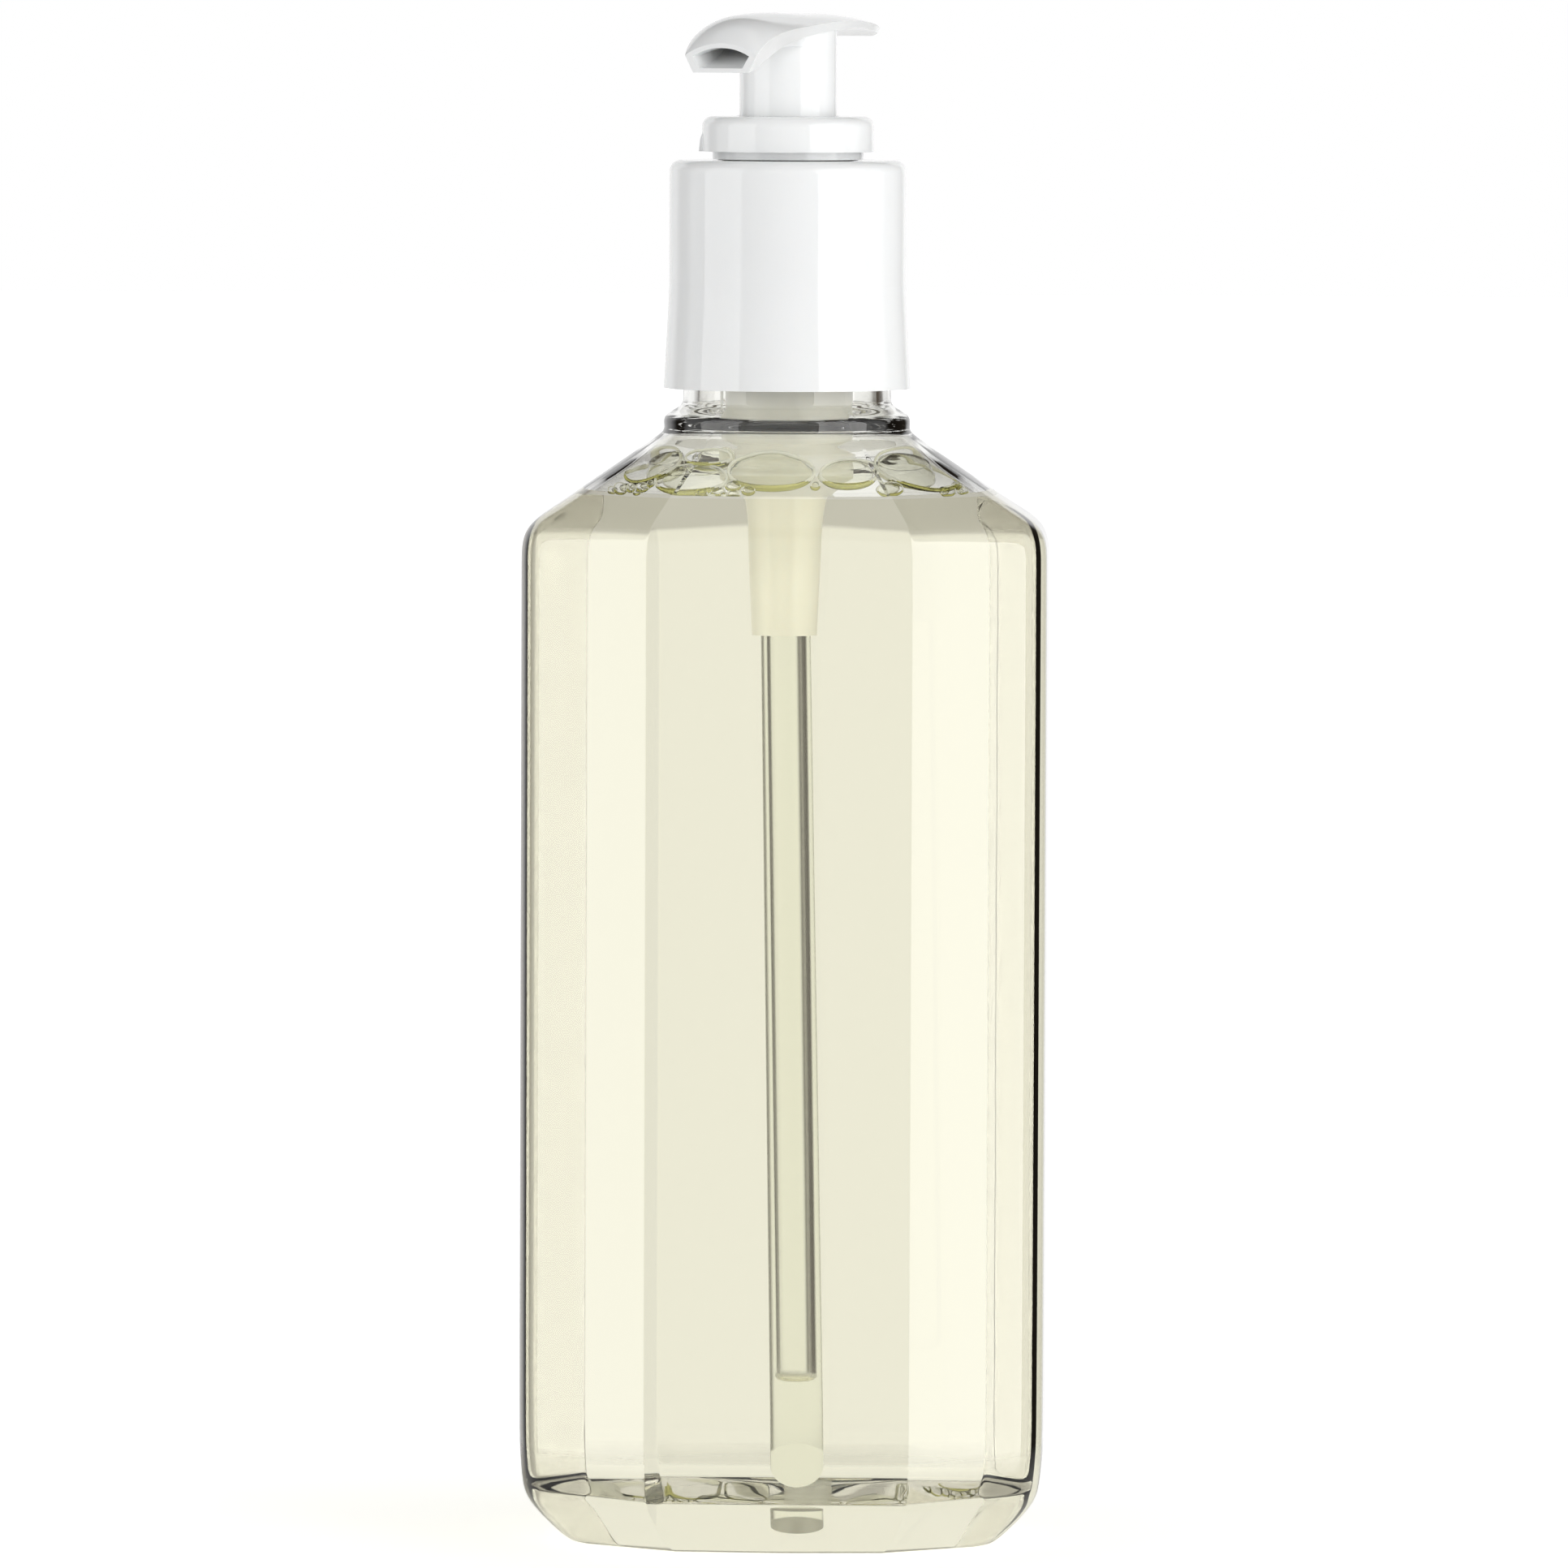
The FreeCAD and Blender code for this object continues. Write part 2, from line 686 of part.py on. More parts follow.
def make_poppet():
    """Plug pressed into the stem's foot; its head closes the piston's bore from below."""
    body = turned_part(
        "poppet",
        [
            ("0", "poppet_z"),
            ("poppet_radius", "poppet_z"),
            ("poppet_radius", "poppet_z + poppet_height * 0.45"),
            ("stem_bore - press_gap", "piston_z - press_gap"),
            ("stem_bore - press_gap", "stem_z + plug_length"),
            ("0", "stem_z + plug_length"),
        ],
    )
    sketch = new_sketch(body, "flute_profile", "XY_Plane", "stem_z + plug_length + 1")
    draw_circle(sketch, "flute_radius", "stem_bore")
    flute = body.newObject("PartDesign::Pocket", "flute")
    flute.Profile = sketch
    flute.setExpression("Length", formula("stem_z + plug_length - piston_z"))
    body.Tip = flute
    doc.recompute()
    flutes = body.newObject("PartDesign::PolarPattern", "flutes")
    flutes.Originals = [flute]
    flutes.Axis = (sketch, ["N_Axis"])
    flutes.Angle = 360
    flutes.Occurrences = POPPET_FLUTES
    body.Tip = flutes
    return body


def make_piston_seal():
    """Soft sleeve with a wiping lip at each end and a waist between them."""
    lip = "lip_length"
    bore = "stem_bore + running_gap + 0.2"
    return turned_part(
        "piston_seal",
        [
            (bore, "piston_z"),
            ("piston_radius - 1.4", "piston_z + 1.6"),
            ("piston_radius - 0.6", "piston_z"),
            ("piston_radius", "piston_z"),
            ("piston_radius", f"piston_z + {lip}"),
            ("piston_waist", f"piston_z + {lip} + 1"),
            ("piston_waist", f"piston_top - {lip} - 1"),
            ("piston_radius", f"piston_top - {lip}"),
            ("piston_radius", "piston_top"),
            ("piston_radius - 0.6", "piston_top"),
            ("piston_radius - 1.4", "piston_top - 1.6"),
            ("stem_radius + 0.6", "piston_top - 1.6"),
            ("stem_radius", "piston_top"),
            (bore, "piston_top"),
        ],
    )


def make_stem():
    """Hollow piston rod; the face wash rises through it to the spout."""
    return turned_part(
        "stem",
        [
            ("stem_bore", "stem_z"),
            ("stem_radius - 0.4", "stem_z"),
            ("stem_radius", "stem_z + 0.4"),
            ("stem_radius", "stem_top_z"),
            ("stem_bore", "stem_top_z"),
        ],
    )


# ---------------------------------------------------------------- pump head

# Sections across the head, from the spout's mouth to the tip of the thumb paddle: place along its
# length, half width at the foot and at the widest as a share of the head's, and how far the foot,
# the widest line and the crown lie below the highest point.
HEAD_SECTIONS = [
    ("-spout_reach", 0.53, 0.68, 7.3, 5.2, 3.75),
    ("-spout_reach * 0.86", 0.57, 0.745, 6.4, 3.4, 1.2),
    ("-spout_reach * 0.62", 0.65, 0.82, 4.4, 2.2, 0.25),
    ("-spout_reach * 0.33", 0.82, 0.91, 2.9, 1.6, 0.05),
    ("0", 0.96, 1.0, 2.1, 1.1, 0.2),
    ("paddle_reach * 0.48", 0.99, 1.04, 2.0, 1.2, 0.2),
    ("paddle_reach * 0.79", 0.93, 0.99, 2.5, 1.8, 0.7),
    ("paddle_reach", 0.62, 0.66, 3.0, 2.5, 1.7),
]

# Sections of the duct under the shell: place, half width, drop of its foot and of its roof.
DUCT_SECTIONS = [
    ("-spout_reach * 0.97", 0.53, 7.0, 4.6),
    ("-spout_reach * 0.6", 0.52, 4.45, 1.6),
    ("-spout_reach * 0.3", 0.55, 4.2, 1.2),
    ("0.5", 0.57, 4.2, 1.2),
]

# Sections of the channel: place, half widths, and drops of its foot, its widest line and its roof.
CHANNEL_SECTIONS = [
    ("-spout_reach - 0.5", 0.43, 0.57, 6.9, 5.35, 4.2),
    ("-spout_reach * 0.95", 0.36, 0.47, 6.45, 5.2, 4.4),
    ("-spout_reach * 0.6", 0.34, 0.41, 3.65, 2.9, 2.3),
    ("0", 0.29, 0.35, 3.4, 2.6, 1.9),
]


def arched_section(body, name, place, foot_share, wide_share, foot, wide, crown):
    """A section with a flat foot, sloping sides and an arched roof, across the head's length."""
    sketch = new_sketch(body, name, "XZ_Plane", f"-({place})")
    foot_half, wide_half = f"head_half * {foot_share}", f"head_half * {wide_share}"
    z_foot, z_wide, z_crown = (f"crown_z - {drop}" for drop in (foot, wide, crown))
    corners = [
        (f"-{foot_half}", z_foot),
        (foot_half, z_foot),
        (wide_half, z_wide),
        (f"-{wide_half}", z_wide),
    ]
    points = [Vector(number(x), number(z), 0) for x, z in corners]
    top = Vector(0, number(z_crown), 0)
    sketch.addGeometry(Part.LineSegment(points[0], points[1]))
    sketch.addGeometry(Part.LineSegment(points[1], points[2]))
    sketch.addGeometry(Part.Arc(points[2], top, points[3]))
    sketch.addGeometry(Part.LineSegment(points[3], points[0]))
    arc = sketch.Geometry[2]
    start, end = (1, 2) if (arc.StartPoint - points[2]).Length < 1e-6 else (2, 1)
    sketch.addConstraint(Sketcher.Constraint("Coincident", 0, 2, 1, 1))
    sketch.addConstraint(Sketcher.Constraint("Coincident", 1, 2, 2, start))
    sketch.addConstraint(Sketcher.Constraint("Coincident", 2, end, 3, 1))
    sketch.addConstraint(Sketcher.Constraint("Coincident", 3, 2, 0, 1))
    for geometry, end, corner in ((0, 1, 0), (1, 1, 1), (1, 2, 2), (3, 1, 3)):
        pin_down(sketch, geometry, end, *corners[corner])
    rise = wide - crown
    radius = f"(({wide_half}) ^ 2 + {rise} ^ 2) / (2 * {rise})"
    index = sketch.addConstraint(Sketcher.Constraint("Radius", 2, number(radius)))
    sketch.setExpression(f"Constraints[{index}]", formula(radius))
    return sketch


def make_pump_head():
    """Spout, thumb paddle and skirt moulded in one; the stem is pressed into it from below."""
    body = new_body("pump_head")
    shell = [arched_section(body, f"shell_{i}", *values) for i, values in enumerate(HEAD_SECTIONS)]
    loft(body, "shell", shell, ruled=False)
    duct = []
    for i, (place, share, foot, roof) in enumerate(DUCT_SECTIONS):
        sketch = new_sketch(body, f"duct_{i}", "XZ_Plane", f"-({place})")
        half, low, high = f"head_half * {share}", f"crown_z - {foot}", f"crown_z - {roof}"
        draw_outline(sketch, [(f"-{half}", low), (half, low), (half, high), (f"-{half}", high)])
        duct.append(sketch)
    loft(body, "duct", duct, ruled=False)
    turn_profile(
        body,
        "skirt",
        [
            ("skirt_radius - skirt_wall", "skirt_z"),
            ("skirt_radius", "skirt_z"),
            ("skirt_radius", "crown_z - 1.4"),
            ("0", "crown_z - 1.4"),
            ("0", "socket_foot_z"),
            ("skirt_radius - skirt_wall", "socket_foot_z"),
        ],
    )
    channel = [arched_section(body, f"channel_{i}", *values) for i, values in enumerate(CHANNEL_SECTIONS)]
    loft(body, "channel", channel, cut=True, ruled=False)
    turn_profile(
        body,
        "stem_socket",
        [
            ("0", "socket_foot_z - 1"),
            ("stem_radius + press_gap", "socket_foot_z - 1"),
            ("stem_radius + press_gap", "stem_top_z + press_gap"),
            ("stem_bore", "stem_top_z + press_gap"),
            ("stem_bore", "crown_z - 3"),
            ("0", "crown_z - 3"),
        ],
        cut=True,
    )
    body.setExpression("Placement.Rotation.Angle", formula("-spout_turn"))
    return body


# ---------------------------------------------------------------- build, check and write


def main():
    parts = [
        make_bottle(),
        make_face_wash(),
        make_dip_tube(),
        make_neck_gasket(),
        make_screw_collar(),
        make_lock_ring(),
        make_pump_housing(),
        make_valve_ball(),
        make_ball_cage(),
        make_return_spring(),
        make_poppet(),
        make_piston_seal(),
        make_stem(),
        make_pump_head(),
    ]
    doc.recompute()
    for item in doc.Objects:
        if "Invalid" in item.State or "Error" in item.State:
            raise RuntimeError(f"{item.Name} failed: {item.State}")
    for part in parts:
        if part.Shape.isNull() or not part.Shape.isValid():
            raise RuntimeError(f"{part.Label} has no valid shape")
    os.makedirs("parts", exist_ok=True)
    for part in parts:
        part.Shape.exportStep(f"parts/{part.Label}.step")
        box = part.Shape.BoundBox
        print(f"{part.Label}: {len(part.Shape.Solids)} solid, {part.Shape.Volume:.0f} mm3, "
              f"z {box.ZMin:.1f} to {box.ZMax:.1f}, x {box.XMin:.1f} to {box.XMax:.1f}, "
              f"y {box.YMin:.1f} to {box.YMax:.1f}")


main()
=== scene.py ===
"""Looks of the face wash bottle: a clear eight-sided bottle of pale wash with a white hand pump.

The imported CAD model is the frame. The bottle, its contents and the tube are made here again with
the fine shape and the optics of the real ones; the moulded pump parts keep their CAD shape and
get their plastics. Sizes in the dataclasses are millimetres and every object is in metres.
"""

import json
import logging
import math
from contextlib import contextmanager
from dataclasses import dataclass
from enum import Enum
from functools import partial
from typing import Any, Callable, Iterator, Sequence

import bmesh
import bpy
from mathutils import Matrix, Vector

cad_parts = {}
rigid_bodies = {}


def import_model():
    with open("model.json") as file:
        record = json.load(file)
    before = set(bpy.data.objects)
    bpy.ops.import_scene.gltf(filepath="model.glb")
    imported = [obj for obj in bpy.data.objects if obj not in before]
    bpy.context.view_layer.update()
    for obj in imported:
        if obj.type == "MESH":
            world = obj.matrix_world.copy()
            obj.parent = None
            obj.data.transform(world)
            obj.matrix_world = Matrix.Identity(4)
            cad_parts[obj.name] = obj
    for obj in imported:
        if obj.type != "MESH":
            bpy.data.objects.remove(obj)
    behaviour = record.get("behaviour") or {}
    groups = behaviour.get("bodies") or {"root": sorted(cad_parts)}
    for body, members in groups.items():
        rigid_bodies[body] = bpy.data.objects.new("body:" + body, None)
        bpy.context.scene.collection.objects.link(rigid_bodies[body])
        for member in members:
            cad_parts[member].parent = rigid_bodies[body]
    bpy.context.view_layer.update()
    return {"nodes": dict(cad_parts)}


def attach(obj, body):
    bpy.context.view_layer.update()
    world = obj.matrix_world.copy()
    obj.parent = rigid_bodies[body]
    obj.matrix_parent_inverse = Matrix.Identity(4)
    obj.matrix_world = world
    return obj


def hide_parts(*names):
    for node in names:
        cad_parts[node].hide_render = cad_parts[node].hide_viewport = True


Item = bpy.types.Object
Material = bpy.types.Material
Node = bpy.types.Node
Socket = bpy.types.NodeSocket
Tree = bpy.types.NodeTree
Profile = tuple[tuple[float, float], ...]

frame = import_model()

MM = 0.001
LOG = logging.getLogger("face_wash_bottle")


class Body(Enum):
    """Bodies of the model that carry new pieces."""

    BOTTLE = "bottle"
    PUMP = "pump"


class Slot(Enum):
    """Material slots of the record, named here but given to no piece."""

    PET = "clear_pet"
    WASH = "face_wash"
    TUBE = "natural_pe"


@dataclass(frozen=True)
class SharedSizes:
    """Sizes that the bottle, the wash and the foam have in common.

    Attributes:
        wall: thickness of the blown wall.
        base: thickness at the base.
        fill: height of the wash.
        shoulder_top: height of the shoulder's last ring.
        lip: height of the neck's upper face.
    """

    wall: float = 0.8
    base: float = 0.95
    fill: float = 129.9
    shoulder_top: float = 134.2
    lip: float = 166.4


SIZES = SharedSizes()


# ---------------------------------------------------------------- bench tools


def put_down() -> None:
    """Leave edit mode and deselect every object."""
    if bpy.context.object is not None and bpy.context.object.mode != "OBJECT":
        bpy.ops.object.mode_set(mode="OBJECT")
    bpy.ops.object.select_all(action="DESELECT")


def pick_up(*objects: Item) -> None:
    """Select only these objects; the first one becomes active.

    Args:
        objects: the objects to select.
    """
    put_down()
    for obj in objects:
        obj.select_set(True)
    bpy.context.view_layer.objects.active = objects[0]


@contextmanager
def editing(obj: Item, kind: str, start: str = "DESELECT") -> Iterator[None]:
    """Hold an object in edit mode.

    Args:
        obj: the mesh object.
        kind: VERT, EDGE or FACE, what is selected while the object is held.
        start: SELECT to begin with all of it selected, DESELECT with none.
    """
    pick_up(obj)
    bpy.ops.object.mode_set(mode="EDIT")
    bpy.ops.mesh.select_mode(type=kind)
    bpy.ops.mesh.select_all(action=start)
    yield
    bpy.ops.object.mode_set(mode="OBJECT")
    put_down()


def choose_verts(test: Callable[[Vector], bool]) -> None:
    """Select the vertices of the held mesh whose place passes a test.

    Args:
        test: takes a place in metres and says whether it is wanted.
    """
    bpy.ops.mesh.select_all(action="DESELECT")
    mesh = bmesh.from_edit_mesh(bpy.context.object.data)
    for vert in mesh.verts:
        vert.select_set(test(vert.co))
    mesh.select_flush(True)
    bmesh.update_edit_mesh(bpy.context.object.data)


def choose_faces(test: Callable[[Vector, Vector], bool]) -> None:
    """Select the faces of the held mesh whose middle and normal pass a test.

    Args:
        test: takes a face's middle and its normal and says whether it is wanted.
    """
    bpy.ops.mesh.select_all(action="DESELECT")
    mesh = bmesh.from_edit_mesh(bpy.context.object.data)
    for face in mesh.faces:
        face.select_set(test(face.calc_center_median(), face.normal))
    bmesh.update_edit_mesh(bpy.context.object.data)


def reach_of_choice() -> tuple[float, float]:
    """Half width and half depth of what is selected in the held mesh.

    Returns:
        The largest x and the largest y of the selected vertices, in metres.
    """
    mesh = bmesh.from_edit_mesh(bpy.context.object.data)
    places = [vert.co for vert in mesh.verts if vert.select]
    return max(place.x for place in places), max(place.y for place in places)


def finish_mesh(obj: Item, crease: float = 180.0) -> None:
    """Merge doubles, point the faces outwards and shade them smooth.

    Args:
        obj: the mesh object.
        crease: edges that turn by more degrees than this stay sharp.
    """
    with editing(obj, "VERT", "SELECT"):
        bpy.ops.mesh.remove_doubles(threshold=0.002 * MM)
        bpy.ops.mesh.normals_make_consistent(inside=False)
    pick_up(obj)
    if crease < 180:
        bpy.ops.object.shade_smooth_by_angle(angle=math.radians(crease))
    else:
        bpy.ops.object.shade_smooth()
    put_down()


def add_modifier(obj: Item, kind: str, settings: dict[str, Any]) -> None:
    """Give an object one modifier and apply it.

    Args:
        obj: the mesh object.
        kind: the modifier's type.
        settings: its settings by name.
    """
    modifier = obj.modifiers.new(kind.lower(), kind)
    for name, value in settings.items():
        setattr(modifier, name, value)
    pick_up(obj)
    bpy.ops.object.modifier_apply(modifier=modifier.name)
    put_down()


def settle(obj: Item, name: str, body: Body, nodes: Sequence[str] = ()) -> None:
    """Name a finished piece, let it ride on its body and hide the CAD nodes that it stands for.

    Args:
        obj: the finished object.
        name: its name.
        body: the body that carries it.
        nodes: CAD nodes that it replaces.
    """
    pick_up(obj)
    bpy.ops.object.transform_apply(location=True, rotation=True, scale=True)
    put_down()
    obj.name = name
    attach(obj, body.value)
    if nodes:
        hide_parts(*nodes)
    LOG.info("%s: %d faces on %s", name, len(obj.data.polygons), body.value)


def dress(obj: Item, *materials: Material) -> None:
    """Put materials in an object's slots.

    Args:
        obj: the object.
        materials: its materials in slot order.
    """
    for index, material in enumerate(materials):
        if index < len(obj.material_slots):
            obj.material_slots[index].material = material
        else:
            obj.data.materials.append(material)


# ---------------------------------------------------------------- finishes


def tint(code: str) -> tuple[float, float, float, float]:
    """Turn an sRGB hex colour into the linear colour that a shader takes.

    Args:
        code: six hex digits.

    Returns:
        Linear red, green, blue and alpha.
    """
    parts = [int(code[i : i + 2], 16) / 255 for i in (0, 2, 4)]
    linear = [c / 12.92 if c <= 0.04045 else ((c + 0.055) / 1.055) ** 2.4 for c in parts]
    return (*linear, 1.0)


def per_metre(millimetres: float) -> float:
    """Scale of a pattern whose features are this many millimetres apart."""
    return 1000 / millimetres


def add_node(tree: Tree, kind: str, links: dict[Any, Any] | None = None, **settings: Any) -> Node:
    """Add a node with its settings, values and links.

    Args:
        tree: the node tree.
        kind: the node's type name.
        links: input name or number, and the value or the output socket that goes there.
        settings: attributes of the node itself.

    Returns:
        The node.
    """
    node = tree.nodes.new(kind)
    for name, value in settings.items():
        setattr(node, name, value)
    for key, value in (links or {}).items():
        if isinstance(value, Socket):
            tree.links.new(value, node.inputs[key])
        else:
            node.inputs[key].default_value = value
    return node


def new_material(name: str) -> tuple[Material, Tree]:
    """An empty node material.

    Args:
        name: the material's name.

    Returns:
        The material and its node tree.
    """
    material = bpy.data.materials.new(name)
    material.use_nodes = True
    material.node_tree.nodes.clear()
    return material, material.node_tree


def add_noise(tree: Tree, spacing_mm: float, detail: float) -> Node:
    """Add a noise pattern that stands still on the object.

    Args:
        tree: the node tree.
        spacing_mm: distance between its features.
        detail: how many finer layers it has.

    Returns:
        The noise node.
    """
    place = add_node(tree, "ShaderNodeTexCoord")
    links = {"Vector": place.outputs["Object"], "Scale": per_metre(spacing_mm), "Detail": detail}
    return add_node(tree, "ShaderNodeTexNoise", links)


def add_bump(tree: Tree, pattern: Node, depth_mm: float) -> Socket:
    """Raise a pattern on the surface.

    Args:
        tree: the node tree.
        pattern: the noise node.
        depth_mm: height of the pattern.

    Returns:
        The socket with the new normal.
    """
    links = {"Height": pattern.outputs["Fac"], "Strength": 1.0, "Distance": depth_mm * MM}
    return add_node(tree, "ShaderNodeBump", links).outputs["Normal"]


def pass_lamps(tree: Tree, shader: Node, code: str) -> Socket:
    """Let lamp light straight through a see-through shader.

    Args:
        tree: the node tree.
        shader: the see-through shader.
        code: sRGB hex of the light that a shadow ray keeps.

    Returns:
        The socket with both.
    """
    path = add_node(tree, "ShaderNodeLightPath")
    through = add_node(tree, "ShaderNodeBsdfTransparent", {"Color": tint(code)})
    links = {0: path.outputs["Is Shadow Ray"], 1: shader.outputs[0], 2: through.outputs[0]}
    return add_node(tree, "ShaderNodeMixShader", links).outputs[0]


@dataclass(frozen=True)
class ClearMoulding:
    """A clear or milky see-through material that lets lamp light through to what it holds.

    Attributes:
        name: common name of the material.
        colour: sRGB hex of what it lets through at one surface.
        ior: index against what is outside it.
        roughness: 0 for polished.
        ripple_mm: spacing of the faint moulding waves.
        ripple_depth_mm: their height, 0 for none.
        pass_colour: sRGB hex of the light that a shadow ray keeps.
        coat: share of a harder outer skin's own gloss, 0 for none.
        coat_ior: index of that skin.
    """

    name: str
    colour: str
    ior: float
    roughness: float = 0.0
    ripple_mm: float = 12.0
    ripple_depth_mm: float = 0.0
    pass_colour: str = "f4f4f2"
    coat: float = 0.0
    coat_ior: float = 1.57

    def make(self) -> Material:
        """Build the material.

        Returns:
            The material.
        """
        material, tree = new_material(self.name)
        shader = add_node(
            tree,
            "ShaderNodeBsdfPrincipled",
            {
                "Base Color": tint(self.colour),
                "Roughness": self.roughness,
                "IOR": self.ior,
                "Transmission Weight": 1.0,
                "Coat Weight": self.coat,
                "Coat Roughness": 0.0,
                "Coat IOR": self.coat_ior,
            },
        )
        if self.ripple_depth_mm:
            waves = add_noise(tree, self.ripple_mm, 1.0)
            tree.links.new(add_bump(tree, waves, self.ripple_depth_mm), shader.inputs["Normal"])
        surface = pass_lamps(tree, shader, self.pass_colour)
        add_node(tree, "ShaderNodeOutputMaterial", {"Surface": surface})
        return material


@dataclass(frozen=True)
class WashLiquid:
    """Pale yellow-green surfactant wash: clear, and deeper in colour the further one looks in.

    Attributes:
        name: name of the material.
        colour: sRGB hex of what a depth of 1 / density metres lets through.
        density: absorption per metre.
    """

    name: str = "pale_wash"
    colour: str = "fbf9ef"
    density: float = 8.0

    def make(self) -> Material:
        """Build the material.

        Returns:
            The material.
        """
        material, tree = new_material(self.name)
        shader = add_node(
            tree,
            "ShaderNodeBsdfPrincipled",
            {
                "Base Color": tint("ffffff"),
                "Roughness": 0.0,
                "IOR": 1.0,
                "Transmission Weight": 1.0,
            },
        )
        soak = {"Color": tint(self.colour), "Density": self.density}
        depth = add_node(tree, "ShaderNodeVolumeAbsorption", soak)
        ends = {"Surface": pass_lamps(tree, shader, "ffffff"), "Volume": depth.outputs[0]}
        add_node(tree, "ShaderNodeOutputMaterial", ends)
        return material


@dataclass(frozen=True)
class MouldedPlastic:
    """Injection-moulded plastic: an even colour with a faint cloud in it and a moulded sheen.

    Attributes:
        name: common name of the material.
        colour: sRGB hex of its body.
        shade: sRGB hex of the slightly deeper clouds.
        roughness: of the clean skin.
        grain_mm: spacing of the skin's fine unevenness.
        grain_depth_mm: its height.
        milky: how much light wanders inside, 0 to 1.
        ior: index of the skin.
        cloud_mm: spacing of the clouds.
        wander_mm: how far light wanders inside.
    """

    name: str
    colour: str
    shade: str
    roughness: float = 0.16
    grain_mm: float = 1.4
    grain_depth_mm: float = 0.004
    milky: float = 0.1
    ior: float = 1.49
    cloud_mm: float = 9.0
    wander_mm: float = 1.2

    def make(self) -> Material:
        """Build the material.

        Returns:
            The material.
        """
        material, tree = new_material(self.name)
        cloud = add_noise(tree, self.cloud_mm, 3.0)
        grain = add_noise(tree, self.grain_mm, 2.0)
        body = add_node(
            tree,
            "ShaderNodeMix",
            {0: cloud.outputs["Fac"], 6: tint(self.colour), 7: tint(self.shade)},
            data_type="RGBA",
        )
        rub = add_node(
            tree,
            "ShaderNodeMapRange",
            {"Value": cloud.outputs["Fac"], 3: self.roughness * 0.85, 4: self.roughness * 1.2},
        )
        shader = add_node(
            tree,
            "ShaderNodeBsdfPrincipled",
            {
                "Base Color": body.outputs[2],
                "Roughness": rub.outputs[0],
                "IOR": self.ior,
                "Subsurface Weight": self.milky,
                "Subsurface Radius": (1.0, 0.9, 0.8),
                "Subsurface Scale": self.wander_mm * MM,
                "Normal": add_bump(tree, grain, self.grain_depth_mm),
            },
        )
        add_node(tree, "ShaderNodeOutputMaterial", {"Surface": shader.outputs[0]})
        return material


@dataclass(frozen=True)
class BrightWire:
    """Cold-drawn stainless spring wire and a polished steel ball: bright metal with drawn lines.

    Attributes:
        name: name of the material.
        colour: sRGB hex of the bare metal.
        roughness: across the drawn lines.
        line_mm: spacing of the lines.
        line_depth_mm: their depth.
    """

    name: str = "stainless_steel"
    colour: str = "c4c2be"
    roughness: float = 0.22
    line_mm: float = 0.3
    line_depth_mm: float = 0.003

    def make(self) -> Material:
        """Build the material.

        Returns:
            The material.
        """
        material, tree = new_material(self.name)
        lines = add_noise(tree, self.line_mm, 2.0)
        shader = add_node(
            tree,
            "ShaderNodeBsdfPrincipled",
            {
                "Base Color": tint(self.colour),
                "Metallic": 1.0,
                "Roughness": self.roughness,
                "Normal": add_bump(tree, lines, self.line_depth_mm),
            },
        )
        add_node(tree, "ShaderNodeOutputMaterial", {"Surface": shader.outputs[0]})
        return material


# Stretch-blown PET: water-clear and glossy, with very faint waves left by the blowing.
BLOWN_PET = ClearMoulding("blown_pet", "fbfbf8", 1.57, 0.0, 16.0, 0.012)
# The inner face where the wash wets it: it vanishes.
WET_PET = ClearMoulding("wet_pet", "ffffff", 1.0, pass_colour="ffffff")
# The outer skin there: wall and wash bend light as one, under the harder gloss of the PET.
BACKED_PET = ClearMoulding("wash_backed_pet", "edebd8", 1.345, 0.0, 16.0, 0.012, "f4f3ea", 0.6)
# The open surface of the wash: a flat mirror when it is seen from below.
WASH_TOP = ClearMoulding("wash_top", "ffffff", 1.345, 0.0)
# The underside of that surface: light goes through it unchanged.
WASH_UNDER = ClearMoulding("wash_under", "ffffff", 1.0, 0.0, pass_colour="ffffff")
# Soap film of the bubbles: nearly unseen, apart from its glints and its edges.
SOAP_FILM = ClearMoulding("soap_film", "fdfdf6", 1.33, 0.0, pass_colour="fafaf4")
# Thicker wash where bubbles meet each other and the wall: pale, milky lines.
SOAP_RIM = MouldedPlastic("soap_rim", "e9e8d8", "dddcc4", 0.08, 0.8, 0.004, 0.3, 1.345)
# The pool of wash at a bubble's foot, deep enough to show its yellow-green.
WASH_FOOT = ClearMoulding("wash_foot", "d8d68a", 1.345, 0.0, pass_colour="e8e6b8")
# Extruded low-density polyethylene tube, a little milky, seen against the wash that surrounds it.
TUBE_PE = ClearMoulding("extruded_pe", "f7f8f0", 1.51 / 1.345, 0.26, 6.0, 0.004, "f4f3ec")
# The air that stands in the tube: its edges turn dark, because wash bends light more.
TUBE_AIR = ClearMoulding("tube_air", "ffffff", 1.0 / 1.345, 0.14, pass_colour="ffffff")
# Natural polypropylene of the pump cylinder, moulded and unpigmented: milky and soft-edged.
NATURAL_PP = MouldedPlastic("natural_pp", "ecebe4", "e0dfd6", 0.3, 2.0, 0.006, 0.55)
# Glossy white polypropylene of the closure and the head: even white with clear highlights.
WHITE_PP = MouldedPlastic("white_pp", "f3f4f4", "eff0f0", 0.055, 2.6, 0.0012, 0.12)
# Soft white foamed polyethylene of the gasket: dull, with a fine grain of cells.
FOAM_PE = MouldedPlastic("foamed_pe", "ecebe6", "dddcd6", 0.55, 0.4, 0.03, 0.1)
# Stainless steel of the ball and the spring: bright, with fine drawn lines.
STEEL = BrightWire()


# ---------------------------------------------------------------- bottle


